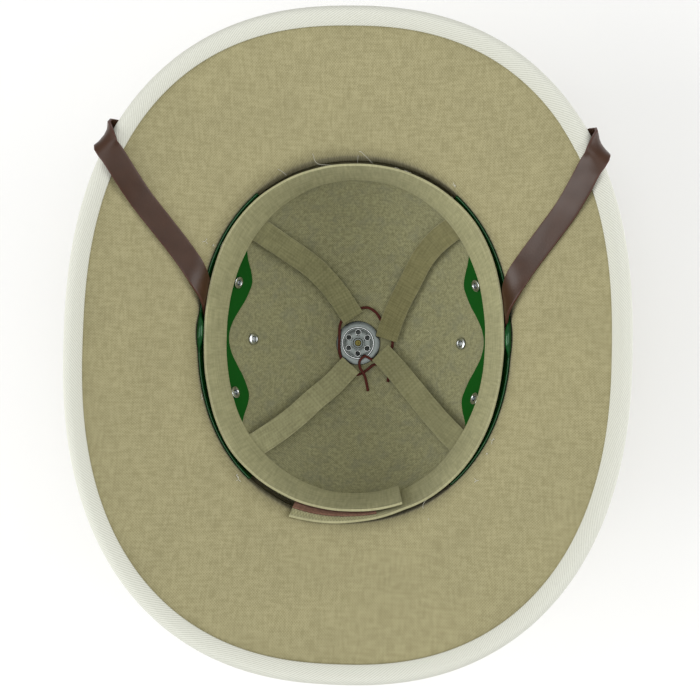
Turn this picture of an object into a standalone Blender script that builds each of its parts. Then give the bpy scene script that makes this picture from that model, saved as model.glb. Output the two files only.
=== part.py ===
"""Pith helmet, lying crown-down on its ventilator cap with its open side up.

Metres, +Z up out of the hollow, +Y to the helmet's front. The origin is under the
middle of the rim, on the surface that the cap rests on.
"""
import math

import bmesh
import bpy
import numpy as np
from mathutils import Matrix, Vector

# Driving dimensions in metres, and angles in degrees where the name says so
RIM_LENGTH = 0.3485
RIM_WIDTH = 0.2955
RIM_SQUARENESS = 2.35
CROWN_LENGTH = 0.209
CROWN_WIDTH = 0.181
CROWN_SQUARENESS = 2.15
CROWN_DEPTH = 0.090
CROWN_FULLNESS = 2.02
CROWN_FORWARD = 0.0035
CROWN_ASIDE = 0.0035
BRIM_DROP = 0.045
SIDE_ARCH = 0.006
BRIM_SLOPE_DEGREES = 26.0
LIP_RADIUS = 0.010
SHELL_WALL = 0.004
CLOTH_WALL = 0.001
GAP = 0.0003

# The binding tape over the rim
TAPE_WIDTH = 0.0078
TAPE_WALL = 0.001

# The headband, an upright ring whose ends overlap at the back
BAND_WALL = 0.0014
BAND_HEIGHT = 0.032
BAND_PROUD = 0.001
BAND_NEAR_SIDE_ROOM = 0.0004
BAND_FAR_SIDE_ROOM = 0.0021
BAND_NEAR_END_ROOM = 0.0020
BAND_FAR_END_ROOM = 0.0006
BAND_CORNER_TUCK = 0.0014
BAND_FRONT_RISE = 0.004
BAND_OUTER_END_DEGREES = 252.0
BAND_INNER_END_DEGREES = 288.0
PATCH_WALL = 0.001
PATCH_NEAR = 0.05
PATCH_FAR = 0.8

# How far the overlapping ends stand off the band's ring, as shares of the lap's thickness
LAP_NEAR_SHARE = 0.35
LAP_FAR_SHARE = 0.70

# The outer end's free corner, which leans out over the opening's lip
FLAP_OUT = 0.0049
FLAP_UP = 0.0088
FLAP_BEND = 0.1

# The green strips between the headband and the crown
STRIP_WALL = 0.001
STRIP_ROOM = 0.0007
STRIP_NEAR = 0.985

# The cradle straps and the chin strap
CRADLE_WIDTH = 0.0150
CRADLE_WALL = 0.001
CRADLE_ROOM = 0.001
CHIN_WIDTH = 0.0130
CHIN_WALL = 0.0015
CHIN_ROOM = 0.0006

# The ventilator at the crown's top
COLLET_BORE_RADIUS = 0.0096
COLLET_WALL = 0.0008
COLLET_TUBE_RADIUS = COLLET_BORE_RADIUS + COLLET_WALL
COLLET_FLANGE_RADIUS = COLLET_TUBE_RADIUS + 0.0042
VENT_HOLE_RADIUS = COLLET_TUBE_RADIUS + 0.0008
PLUG_RADIUS = COLLET_BORE_RADIUS + 0.0012
PLUG_DISC_WALL = 0.0008
PLUG_RIM_HEIGHT = 0.0014
PLUG_RIM_WALL = 0.0014
PLUG_BOSS_RADIUS = 0.0033
PLUG_BOSS_RISE = 0.0005
AIR_HOLES = 6
AIR_HOLE_RADIUS = 0.0016
AIR_HOLE_CIRCLE = 0.0071
RIVET_RADIUS = 0.0012
RIVET_HEAD_RADIUS = 0.0021
RIVET_HEAD_HEIGHT = 0.0007
CAP_HEIGHT = 0.0100
CAP_RADIUS = 0.0170
CAP_ROUNDING = 0.0040
CAP_WALL = 0.0010

# The eyelets
EYELET_BORE_RADIUS = 0.0016
EYELET_BARREL_RADIUS = EYELET_BORE_RADIUS + 0.0007
EYELET_FLANGE_RADIUS = EYELET_BARREL_RADIUS + 0.0014
EYELET_FLANGE_WALL = 0.0007
EYELET_ROOM = 0.0009

# The drawcord
LACE_RADIUS = 0.0009

# How finely the round shapes are cut, and which corners stay sharp
SIDES = 42
BAND_STEP = 9.0
STRAP_STEP = 0.012
SHARP_DEGREES = 40.0
DOME_ROWS = (0.15, 0.26, 0.38, 0.49, 0.60, 0.69, 0.78)
LINING_END = 0.87
FACING_START = 0.93
OPENING = 1.0
LIP_SHARE = 0.2
MID_BRIM = 1.5
RIM = 2.0

# Heights above the shell's inner face
FACING_TOP = GAP + CLOTH_WALL
TAPE_BOTTOM = FACING_TOP + GAP
TAPE_TOP = TAPE_BOTTOM + TAPE_WALL
STRIP_BOTTOM = FACING_TOP + STRIP_ROOM
STRIP_TOP = STRIP_BOTTOM + STRIP_WALL
BAND_LAP = BAND_WALL + PATCH_WALL + 2 * GAP
BAND_NEAR_SIDE = STRIP_TOP + CHIN_ROOM + CHIN_WALL + BAND_NEAR_SIDE_ROOM
BAND_FAR_SIDE = STRIP_TOP + CRADLE_WALL + BAND_FAR_SIDE_ROOM
BAND_NEAR_END = FACING_TOP + BAND_LAP * (1 - LAP_NEAR_SHARE) + GAP + BAND_NEAR_END_ROOM
BAND_FAR_END = FACING_TOP + BAND_LAP * (1 - LAP_FAR_SHARE) + GAP + BAND_FAR_END_ROOM

# Heights in the world
SHELL_BOTTOM = CAP_HEIGHT + GAP
OPENING_HEIGHT = SHELL_BOTTOM + SHELL_WALL + CROWN_DEPTH
CROWN_AXIS = Vector((CROWN_ASIDE, CROWN_FORWARD, 0.0))

# The green strip's far edge: how far round from the side, and how near the opening
STRIP_EDGE = (
    # (degrees, along)
    (0.0, 0.695),
    (6.0, 0.680),
    (12.0, 0.647),
    (18.0, 0.617),
    (24.0, 0.604),
    (28.0, 0.607),
    (32.0, 0.640),
    (36.0, 0.700),
    (42.0, 0.780),
    (49.0, 0.850),
    (55.0, 0.920),
)

# Eyelets and where they stand: degrees round the crown, how near the opening, on a strip
EYELETS = (
    # (name, degrees, along, on the strip)
    ("green_eyelet_1", 155.4, 0.700, True),
    ("green_eyelet_2", 204.5, 0.700, True),
    ("green_eyelet_3", 25.2, 0.698, True),
    ("green_eyelet_4", 335.4, 0.700, True),
    ("vent_eyelet_left", 180.0, 0.531, False),
    ("vent_eyelet_right", 0.0, 0.531, False),
)

# The cradle straps from the headband to the ventilator
CRADLE_ROUTES = (
    # (degrees round the crown, how near the opening, height above the green strip in CRADLE_ROOM)
    ((134.5, 0.9, 0.6), (133.3, 0.79, 0.75), (132.6, 0.74, 0.9), (130.8, 0.643, 3.3),
     (128.4, 0.549, 3.8), (121.6, 0.381, 3.8), (114.2, 0.23, 3.3), (101.4, 0.108, 3.2)),
    ((46, 0.9, 0.6), (48.5, 0.79, 0.75), (49.6, 0.74, 0.9), (51.2, 0.647, 2.8), (52.2, 0.5, 2.8),
     (49.3, 0.368, 2.3), (41.5, 0.24, 2.5), (27, 0.172, 2.5), (8, 0.142, 2.5)),
    ((316.6, 0.9, 0.8), (316.9, 0.79, 0.86), (317.1, 0.74, 0.93), (317.4, 0.65, 2.9),
     (318, 0.54, 3.3), (321.5, 0.34, 3.7), (328.2, 0.205, 4.3), (338.6, 0.12, 4.7)),
    ((225, 0.9, 0.6), (226.6, 0.79, 0.75), (227.4, 0.74, 0.9), (228.8, 0.64, 5.3),
     (231, 0.5, 7.8), (234.4, 0.318, 6.3), (239.1, 0.227, 4.3), (253.7, 0.099, 3.1)),
)

# The chin strap, in degrees forward of the crown's left or right side
CHIN_INSIDE = (
    # (along, left degrees, right degrees, height above the shell's inner face)
    (0.91, 9.0, 5.0, STRIP_TOP + CHIN_ROOM),
    (0.95, 11.5, 8.0, STRIP_TOP + CHIN_ROOM),
    (1.03, 15.6, 13.0, STRIP_TOP + CHIN_ROOM),
    (1.12, 19.4, 17.8, FACING_TOP + 2.5 * CHIN_ROOM),
    (1.20, 22.6, 21.4, FACING_TOP + 2 * CHIN_ROOM),
    (1.30, 25.7, 24.4, FACING_TOP + 1.5 * CHIN_ROOM),
    (1.50, 30.0, 28.6, FACING_TOP + 1.5 * CHIN_ROOM),
    (1.70, 33.3, 31.9, FACING_TOP + 1.5 * CHIN_ROOM),
    (1.83, 35.4, 34.0, TAPE_TOP + 2 * CHIN_ROOM),
    (1.97, 37.5, 36.3, TAPE_TOP + 2 * CHIN_ROOM),
)
CHIN_OUTSIDE = (
    # (along, left degrees, right degrees, height below the shell's inner face)
    (1.97, 41.5, 40.5, SHELL_WALL + GAP + TAPE_WALL + 2 * CHIN_ROOM),
    (1.82, 44.8, 43.8, SHELL_WALL + GAP + TAPE_WALL + 2 * CHIN_ROOM),
    (1.66, 48.0, 47.0, SHELL_WALL + CHIN_ROOM),
    (1.50, 51.2, 50.4, SHELL_WALL + CHIN_ROOM),
    (0.93, 66.0, 66.0, SHELL_WALL + CHIN_ROOM),
    (0.88, 78.0, 78.0, SHELL_WALL + CHIN_ROOM),
    (0.86, 90.0, 90.0, SHELL_WALL + CHIN_ROOM),
)
CHIN_TURN = (22.5, 45.0, 67.5, 90.0, 112.5, 135.0, 157.5)

# The drawcord's route, from one tail's end round the ventilator to the other's
LACE_ROUTE = (
    (0.0109, -0.0281, 0.0215),
    (0.0096, -0.0222, 0.0203),
    (0.0080, -0.0169, 0.0216),
    (0.0056, -0.0137, 0.0214),
    (0.0048, -0.0089, 0.0214),
    (0.0084, -0.0051, 0.0214),
    (0.0131, -0.0076, 0.0207),
    (0.0190, -0.0081, 0.0196),
    (0.0254, -0.0013, 0.0200),
    (0.0259, 0.0086, 0.0201),
    (0.0191, 0.0178, 0.0194),
    (0.0148, 0.0241, 0.0197),
    (0.0094, 0.0271, 0.0198),
    (0.0043, 0.0264, 0.0195),
    (-0.0030, 0.0234, 0.0192),
    (-0.0081, 0.0172, 0.0192),
    (-0.0089, 0.0065, 0.0195),
    (-0.0082, -0.0047, 0.0194),
    (-0.0034, -0.0132, 0.0189),
    (0.0033, -0.0177, 0.0191),
    (0.0089, -0.0150, 0.0188),
    (0.0154, -0.0102, 0.0187),
    (0.0217, -0.0120, 0.0200),
    (0.0241, -0.0172, 0.0213),
    (0.0238, -0.0218, 0.0221),
)


def oval_radius(angle, half_width, half_length, squareness):
    """Radius of a squarish oval at an angle from its wide side."""
    across = abs(math.cos(angle) / half_width) ** squareness
    along = abs(math.sin(angle) / half_length) ** squareness
    return (across + along) ** (-1 / squareness)


def shell_point(angle, along):
    """A point on the shell's inner face.

    along runs from 0 at the crown's top to 1 at the opening and 2 at the rim.
    """
    outward = Vector((math.cos(angle), math.sin(angle), 0.0))
    opening_radius = oval_radius(angle, CROWN_WIDTH / 2, CROWN_LENGTH / 2, CROWN_SQUARENESS)
    if along <= OPENING:
        turn = along * math.pi / 2
        sine, cosine = math.sin(turn), math.cos(turn)
        fullness = (sine ** CROWN_FULLNESS + cosine ** CROWN_FULLNESS) ** (-1 / CROWN_FULLNESS)
        point = CROWN_AXIS + outward * opening_radius * fullness * sine
        point.z = OPENING_HEIGHT - CROWN_DEPTH * fullness * cosine
        return point
    edge = TAPE_WALL + GAP
    rim_radius = oval_radius(angle, RIM_WIDTH / 2 - edge, RIM_LENGTH / 2 - edge, RIM_SQUARENESS)
    start = CROWN_AXIS + outward * opening_radius
    across = outward * rim_radius - start
    width = across.length
    height = BRIM_DROP - SIDE_ARCH * math.cos(angle) ** 2
    slope = math.radians(BRIM_SLOPE_DEGREES)
    lip_turn = math.pi / 2 - slope
    share = along - OPENING
    if share < LIP_SHARE:
        turn = lip_turn * share / LIP_SHARE
        out, up = LIP_RADIUS * (1 - math.cos(turn)), LIP_RADIUS * math.sin(turn)
    else:
        lip = Vector((LIP_RADIUS * (1 - math.cos(lip_turn)), LIP_RADIUS * math.sin(lip_turn)))
        rim = Vector((width, height))
        middle = lip + Vector((math.cos(slope), math.sin(slope))) * (rim - lip).length / 2
        rest = (share - LIP_SHARE) / (1 - LIP_SHARE)
        out, up = lip * (1 - rest) ** 2 + middle * 2 * rest * (1 - rest) + rim * rest ** 2
    point = start + across * (out / width)
    point.z = OPENING_HEIGHT + up
    return point


def shell_normal(angle, along):
    """The shell's direction towards the wearer, square to its inner face."""
    step = 1e-4
    onward = shell_point(angle, min(along + step, RIM)) - shell_point(angle, along - step)
    round_the_crown = shell_point(angle + step, along) - shell_point(angle - step, along)
    return onward.cross(round_the_crown).normalized()


def above_shell(angle, along, height):
    """A point so far above the shell's inner face."""
    return shell_point(angle, along) + shell_normal(angle, along) * height


def tape_row(angle):
    """How far out the binding tape's edge lies."""
    brim = (shell_point(angle, RIM) - shell_point(angle, OPENING + LIP_SHARE)).length
    return RIM - (1 - LIP_SHARE) * TAPE_WIDTH / brim


def dome_row(angle, radius):
    """How far out the dome reaches a radius."""
    opening_radius = oval_radius(angle, CROWN_WIDTH / 2, CROWN_LENGTH / 2, CROWN_SQUARENESS)
    return math.asin(radius / opening_radius) * 2 / math.pi


def vent_row(angle):
    """How far out the ventilator's hole in the shell lies."""
    return dome_row(angle, VENT_HOLE_RADIUS)


def round_angles(count):
    """Angles all the way round."""
    return [2 * math.pi * i / count for i in range(count)]


def make_material(name, colour, roughness, metallic=0.0):
    """A plain material of one colour."""
    material = bpy.data.materials.new(name)
    material.use_nodes = True
    shader = material.node_tree.nodes["Principled BSDF"]
    shader.inputs["Base Color"].default_value = (*colour, 1.0)
    shader.inputs["Roughness"].default_value = roughness
    shader.inputs["Metallic"].default_value = metallic
    return material


def finish_object(name, shape, material, place=None):
    """Make a named object of a bmesh, smooth where it is round."""
    mesh = bpy.data.meshes.new(name)
    bmesh.ops.recalc_face_normals(shape, faces=shape.faces)
    shape.to_mesh(mesh)
    shape.free()
    mesh.shade_smooth()
    mesh.set_sharp_from_angle(angle=math.radians(SHARP_DEGREES))
    mesh.materials.append(material)
    piece = bpy.data.objects.new(name, mesh)
    if place is not None:
        piece.matrix_world = place
    bpy.context.scene.collection.objects.link(piece)
    return piece


def loft(name, sections, material, ring=False):
    """Skin a row of cross-sections, each a thin loop that runs out and back."""
    shape = bmesh.new()
    loops = [[shape.verts.new(point) for point in section] for section in sections]
    following = loops[1:] + loops[:1] if ring else loops[1:]
    size = len(loops[0])
    for here, there in zip(loops, following):
        for i in range(size):
            j = (i + 1) % size
            # both faces of a wall are cut along the same diagonal, so that layers nest
            if i < size // 2:
                shape.faces.new((here[i], here[j], there[j]))
                shape.faces.new((here[i], there[j], there[i]))
            else:
                shape.faces.new((here[i], here[j], there[i]))
                shape.faces.new((here[j], there[j], there[i]))
    if not ring:
        for end in (loops[0], loops[-1]):
            for i in range(size // 2 - 1):
                shape.faces.new((end[i], end[i + 1], end[size - 2 - i], end[size - 1 - i]))
    return finish_object(name, shape, material)


def turned(name, profile, sides, material, place):
    """Spin a profile of radius and height, closed unless it starts on the axis."""
    shape = bmesh.new()
    verts = [shape.verts.new((radius, 0.0, height)) for radius, height in profile]
    pairs = list(zip(verts, verts[1:]))
    if profile[0][0] > 0:
        pairs.append((verts[-1], verts[0]))
    edges = [shape.edges.new(pair) for pair in pairs]
    bmesh.ops.spin(shape, geom=verts + edges, cent=(0, 0, 0), axis=(0, 0, 1),
                   angle=2 * math.pi, steps=sides, use_merge=True)
    bmesh.ops.remove_doubles(shape, verts=shape.verts, dist=1e-6)
    return finish_object(name, shape, material, place)


def drill(piece, name, radius, low, high, places, sides=8):
    """Cut round holes through a piece, one at each place's axis."""
    shape = bmesh.new()
    middle = Matrix.Translation((0, 0, (low + high) / 2))
    for place in places:
        bmesh.ops.create_cone(shape, cap_ends=True, segments=sides, radius1=radius, radius2=radius,
                              depth=high - low, matrix=place @ middle)
    cutter = finish_object(name, shape, piece.data.materials[0])
    cutter.hide_render = True
    cutter.display_type = "WIRE"
    cut = piece.modifiers.new("holes", "BOOLEAN")
    cut.operation = "DIFFERENCE"
    cut.solver = "EXACT"
    cut.object = cutter


def layer(name, rows, low, high, material):
    """One skin of the helmet, all the way round, between two heights and over its rows."""
    sections = []
    for angle in round_angles(SIDES):
        places = [row(angle) if callable(row) else row for row in rows]
        face = [above_shell(angle, along, high) for along in places]
        back = [above_shell(angle, along, low) for along in reversed(places)]
        sections.append(face + back)
    return loft(name, sections, material, ring=True)


def smooth_curve(rows, step):
    """Read rows of numbers as one smooth curve, about one sample a step."""
    values = np.array(rows, dtype=float)
    lengths = np.linalg.norm(np.diff(values[:, :3], axis=0), axis=1)
    knots = np.concatenate([[0.0], np.cumsum(lengths)])
    slopes = np.gradient(values, knots, axis=0)
    samples = []
    for i, length in enumerate(lengths):
        count = max(1, round(length / step))
        for t in np.arange(count) / count:
            samples.append(values[i] * (1 + 2 * t) * (1 - t) ** 2
                           + values[i + 1] * (3 - 2 * t) * t ** 2
                           + slopes[i] * length * t * (1 - t) ** 2
                           - slopes[i + 1] * length * t ** 2 * (1 - t))
    samples.append(values[-1])
    return samples


def ribbon(name, rows, width, wall, step, material):
    """A flat strap: each row is a point under it and the direction it faces."""
    samples = [(Vector(row[:3]), Vector(row[3:]).normalized()) for row in smooth_curve(rows, step)]
    sections = []
    for i, (point, facing) in enumerate(samples):
        ahead = samples[min(i + 1, len(samples) - 1)][0] - samples[max(i - 1, 0)][0]
        side = ahead.cross(facing).normalized() * width / 2
        thick = side.cross(ahead).normalized() * wall
        if thick.dot(facing) < 0:
            thick.negate()
        sections.append([point - side, point + side, point + side + thick, point - side + thick])
    return loft(name, sections, material)


def build_shell(cover, facing_cloth, lining_cloth, tape_cloth, hole_places):
    """Pith shell, brim facing, crown lining and the tape that binds the rim."""
    dome = (vent_row, *DOME_ROWS, LINING_END)
    brim = (FACING_START, OPENING, OPENING + LIP_SHARE / 2, OPENING + LIP_SHARE, MID_BRIM, tape_row, RIM)
    shell = layer("shell", dome + brim, -SHELL_WALL, 0.0, cover)
    lining = layer("crown_lining", dome, GAP, FACING_TOP, lining_cloth)
    layer("brim_facing", brim, GAP, FACING_TOP, facing_cloth)
    radius = EYELET_BARREL_RADIUS + GAP
    below, above = -SHELL_WALL - CLOTH_WALL, STRIP_TOP + CLOTH_WALL
    drill(shell, "shell_holes", radius, below, above, hole_places)
    drill(lining, "lining_holes", radius, below, above, hole_places)

    sections = []
    under = -SHELL_WALL - GAP
    for angle in round_angles(SIDES):
        edge = tape_row(angle)
        rim_point, rim_normal = shell_point(angle, RIM), shell_normal(angle, RIM)
        out = (rim_point - shell_point(angle, edge)).normalized()
        outside = [above_shell(angle, edge, TAPE_TOP),
                   above_shell(angle, RIM, TAPE_TOP),
                   rim_point + out * (GAP + TAPE_WALL) + rim_normal * TAPE_BOTTOM / 2,
                   rim_point + out * (GAP + TAPE_WALL) + rim_normal * (under + GAP + TAPE_WALL),
                   above_shell(angle, RIM, under - TAPE_WALL),
                   above_shell(angle, edge, under - TAPE_WALL)]
        inside = [above_shell(angle, edge, under),
                  rim_point + out * GAP + rim_normal * under,
                  rim_point + out * GAP + rim_normal * TAPE_BOTTOM,
                  above_shell(angle, edge, TAPE_BOTTOM)]
        sections.append(outside + inside)
    loft("rim_binding", sections, tape_cloth, ring=True)


def band_blend(angle, side, end):
    """A height that is one thing at the crown's sides and another at its front and back."""
    return side + (end - side) * math.sin(angle) ** 6


def ramp(value, start, end):
    """0 at the start and 1 at the end, eased."""
    share = min(max((value - start) / (end - start), 0.0), 1.0)
    return share * share * (3 - 2 * share)


def flap_lean(degrees):
    """1 at the headband's outer end, which leans out over the lip, and 0 past the lap."""
    lap = BAND_INNER_END_DEGREES - BAND_OUTER_END_DEGREES
    return min(max((BAND_INNER_END_DEGREES - degrees) / lap, 0.0), 1.0)


def band_point(degrees, share, inward):
    """A point in the headband: share 0 is its near edge and 1 its far one."""
    angle = math.radians(degrees)
    outward = Vector((math.cos(angle), math.sin(angle), 0.0))
    opening_radius = oval_radius(angle, CROWN_WIDTH / 2, CROWN_LENGTH / 2, CROWN_SQUARENESS)
    near_side = BAND_NEAR_SIDE - BAND_CORNER_TUCK * math.sin(2 * angle) ** 4
    far_depth = BAND_HEIGHT - BAND_PROUD - BAND_FRONT_RISE * max(math.sin(angle), 0.0) ** 2
    edges = []
    for depth, side, end in ((-BAND_PROUD, near_side, BAND_NEAR_END),
                             (far_depth, BAND_FAR_SIDE, BAND_FAR_END)):
        sunk = max(depth, 0.0) / CROWN_DEPTH
        radius = opening_radius * (1 - sunk ** CROWN_FULLNESS) ** (1 / CROWN_FULLNESS)
        radius -= band_blend(angle, side, end) + inward
        edges.append(CROWN_AXIS + outward * radius + Vector((0, 0, OPENING_HEIGHT - depth)))
    lean = flap_lean(degrees) * max(1 - share / FLAP_BEND, 0.0)
    return edges[0].lerp(edges[1], share) + (outward * FLAP_OUT + Vector((0, 0, FLAP_UP))) * lean


def band_shift(degrees, share):
    """How far inward the headband stands off its ring where its ends overlap."""
    first, last = BAND_OUTER_END_DEGREES, BAND_INNER_END_DEGREES
    inner = BAND_LAP * (LAP_NEAR_SHARE + (LAP_FAR_SHARE - LAP_NEAR_SHARE) * share)
    outer = inner - BAND_LAP - GAP
    blend = last - first
    if degrees < 360.0:
        return outer * (1 - ramp(degrees, last, last + blend))
    return inner * ramp(degrees, 360.0 + first - blend, 360.0 + first)


def build_headband(band_cloth, patch_cloth):
    """The headband and the small fastening patch between its overlapping ends."""
    first, last = BAND_OUTER_END_DEGREES, BAND_INNER_END_DEGREES + 360.0
    sections = []
    for degrees in np.arange(first, last + BAND_STEP / 2, BAND_STEP):
        corners = []
        for share in (0, FLAP_BEND, 1):
            corners.append(band_point(degrees, share, band_shift(degrees, share)))
        for share in (1, FLAP_BEND, 0):
            corners.append(band_point(degrees, share, band_shift(degrees, share) + BAND_WALL))
        sections.append(corners)
    loft("headband", sections, band_cloth)

    sections = []
    seat = BAND_WALL + GAP
    for degrees in np.arange(first, BAND_INNER_END_DEGREES, BAND_STEP):
        corners = []
        for share in (PATCH_NEAR, FLAP_BEND, PATCH_FAR):
            corners.append(band_point(degrees, share, band_shift(degrees, share) + seat))
        for share in (PATCH_FAR, FLAP_BEND, PATCH_NEAR):
            corners.append(band_point(degrees, share, band_shift(degrees, share) + seat + PATCH_WALL))
        sections.append(corners)
    loft("headband_patch", sections, patch_cloth)


def strip_far_edge(degrees):
    """How far out the green strip's far edge lies."""
    table = np.array(STRIP_EDGE)
    return float(np.interp(abs(degrees), table[:, 0], table[:, 1]))


def build_strips(green, places):
    """The two green strips, with their eyelet holes."""
    reach = STRIP_EDGE[-1][0]
    for name, middle in (("green_strip_left", 180.0), ("green_strip_right", 0.0)):
        sections = []
        for degrees in np.linspace(-reach, reach, 23):
            angle = math.radians(middle + degrees)
            rows = np.linspace(STRIP_NEAR, strip_far_edge(degrees), 4)
            face = [above_shell(angle, along, STRIP_TOP) for along in rows]
            back = [above_shell(angle, along, STRIP_BOTTOM) for along in reversed(rows)]
            sections.append(face + back)
        strip = loft(name, sections, green)
        near = [place for place in places if (place.translation.x < CROWN_AXIS.x) == (middle > 0)]
        drill(strip, name + "_holes", EYELET_BARREL_RADIUS + GAP,
              FACING_TOP, STRIP_TOP + CLOTH_WALL, near)


def eyelet_place(degrees, along):
    """An eyelet's axis: square to the shell, with its zero on the shell's inner face."""
    angle = math.radians(degrees)
    turn = shell_normal(angle, along).to_track_quat("Z", "Y").to_matrix().to_4x4()
    return Matrix.Translation(shell_point(angle, along)) @ turn


def build_eyelets(zinc):
    """Six hollow eyelets that are rolled over on both sides of what they hold."""
    for name, degrees, along, on_strip in EYELETS:
        top = (STRIP_TOP if on_strip else FACING_TOP) + EYELET_ROOM
        under = -SHELL_WALL - GAP
        profile = ((EYELET_BORE_RADIUS, top + EYELET_FLANGE_WALL * 0.6),
                   (EYELET_BARREL_RADIUS, top + EYELET_FLANGE_WALL),
                   (EYELET_FLANGE_RADIUS, top + EYELET_FLANGE_WALL * 0.4),
                   (EYELET_FLANGE_RADIUS, top),
                   (EYELET_BARREL_RADIUS, top),
                   (EYELET_BARREL_RADIUS, under),
                   (EYELET_FLANGE_RADIUS, under),
                   (EYELET_BORE_RADIUS, under - EYELET_FLANGE_WALL))
        turned(name, profile, 10, zinc, eyelet_place(degrees, along))


def build_cradle(strap_cloth):
    """Four straps from behind the headband to the crown's top."""
    for number, route in enumerate(CRADLE_ROUTES, 1):
        rows = []
        for degrees, along, room in route:
            angle = math.radians(degrees)
            point = above_shell(angle, along, STRIP_TOP + room * CRADLE_ROOM)
            rows.append((*point, *shell_normal(angle, along)))
        ribbon(f"cradle_strap_{number}", rows, CRADLE_WIDTH, CRADLE_WALL, STRAP_STEP, strap_cloth)


def chin_side(column, left):
    """One half of the chin strap, from its hidden end to the crown's front."""
    def world_angle(row):
        return math.radians(180.0 - row[column] if left else row[column])

    rows = []
    for row in CHIN_INSIDE:
        angle = world_angle(row)
        rows.append((*above_shell(angle, row[0], row[3]), *shell_normal(angle, row[0])))
    inner, outer = CHIN_INSIDE[-1], CHIN_OUTSIDE[0]
    start, end = world_angle(inner), world_angle(outer)
    middle_height = (inner[3] - outer[3]) / 2
    rise = (inner[3] + outer[3]) / 2
    reach = GAP + TAPE_WALL + 2 * CHIN_ROOM
    for turn in CHIN_TURN:
        angle = start + (end - start) * turn / 180.0
        normal = shell_normal(angle, RIM)
        rim_point = shell_point(angle, RIM)
        out = (rim_point - shell_point(angle, inner[0])).normalized()
        sine, cosine = math.sin(math.radians(turn)), math.cos(math.radians(turn))
        point = rim_point + normal * (middle_height + rise * cosine) + out * reach * sine
        rows.append((*point, *(normal * cosine + out * sine)))
    for row in CHIN_OUTSIDE:
        angle = world_angle(row)
        rows.append((*above_shell(angle, row[0], -row[3]), *(-shell_normal(angle, row[0]))))
    return rows


def build_chin_strap(leather):
    """One leather loop: out of the hollow, round the rim and across the crown's front."""
    left, right = chin_side(1, True), chin_side(2, False)
    ribbon("chin_strap", left + right[-2::-1], CHIN_WIDTH, CHIN_WALL, STRAP_STEP, leather)


def build_ventilator(zinc, brass):
    """Collet, perforated plug, rivet and the outer cap that the helmet rests on."""
    here = Matrix.Translation(CROWN_AXIS)
    skirt = CAP_RADIUS - CAP_WALL
    quarters = round_angles(4)
    flange_rows = [(angle, dome_row(angle, COLLET_FLANGE_RADIUS)) for angle in quarters]
    seat = max(above_shell(angle, row, FACING_TOP).z for angle, row in flange_rows) + GAP
    skirt_rows = [(angle, dome_row(angle, skirt)) for angle in quarters]
    skirt_top = min(above_shell(angle, row, -SHELL_WALL).z for angle, row in skirt_rows) - GAP
    tube_end = (SHELL_BOTTOM + CAP_WALL) / 2
    profile = ((COLLET_BORE_RADIUS, seat + COLLET_WALL), (COLLET_FLANGE_RADIUS, seat + COLLET_WALL * 0.6),
               (COLLET_FLANGE_RADIUS, seat), (COLLET_TUBE_RADIUS, seat),
               (COLLET_TUBE_RADIUS, tube_end), (COLLET_BORE_RADIUS, tube_end))
    turned("vent_collet", profile, 20, zinc, here)

    base = seat + COLLET_WALL + GAP
    disc = base + PLUG_DISC_WALL
    boss = disc + PLUG_BOSS_RISE
    bore = RIVET_RADIUS + GAP
    profile = ((bore, base), (PLUG_RADIUS, base),
               (PLUG_RADIUS, base + PLUG_RIM_HEIGHT * 0.7),
               (PLUG_RADIUS - PLUG_RIM_WALL * 0.4, base + PLUG_RIM_HEIGHT),
               (PLUG_RADIUS - PLUG_RIM_WALL, disc), (PLUG_BOSS_RADIUS, disc),
               (PLUG_BOSS_RADIUS - PLUG_BOSS_RISE, boss), (bore, boss))
    plug = turned("vent_plug", profile, 20, zinc, here)
    out = Matrix.Translation((0, AIR_HOLE_CIRCLE, base))
    places = [here @ Matrix.Rotation(angle, 4, "Z") @ out for angle in round_angles(AIR_HOLES)]
    drill(plug, "vent_plug_holes", AIR_HOLE_RADIUS, -PLUG_DISC_WALL, 2 * PLUG_DISC_WALL, places)

    head = boss + GAP
    foot = CAP_WALL + GAP
    profile = ((0.0, foot), (RIVET_RADIUS, foot), (RIVET_RADIUS, head), (RIVET_HEAD_RADIUS, head),
               (RIVET_HEAD_RADIUS * 0.8, head + RIVET_HEAD_HEIGHT), (0.0, head + RIVET_HEAD_HEIGHT))
    turned("vent_rivet", profile, 12, brass, here)

    flat = CAP_RADIUS - CAP_ROUNDING
    profile = ((0.0, 0.0), (flat, 0.0),
               (flat + CAP_ROUNDING * 0.7, CAP_ROUNDING * 0.3), (CAP_RADIUS, CAP_ROUNDING),
               (CAP_RADIUS, skirt_top), (skirt, skirt_top), (skirt, CAP_ROUNDING),
               (flat, CAP_WALL), (0.0, CAP_WALL))
    turned("vent_cap", profile, 20, zinc, here)


def build_lace(cord):
    """The drawcord, one open curve of round section."""
    points = smooth_curve(LACE_ROUTE, 5 * LACE_RADIUS)
    curve = bpy.data.curves.new("lace", "CURVE")
    curve.dimensions = "3D"
    curve.bevel_depth = LACE_RADIUS
    curve.bevel_resolution = 2
    curve.use_fill_caps = True
    spline = curve.splines.new("POLY")
    spline.points.add(len(points) - 1)
    for target, point in zip(spline.points, points):
        target.co = (*point, 1.0)
    curve.materials.append(cord)
    bpy.context.scene.collection.objects.link(bpy.data.objects.new("lace", curve))


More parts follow.
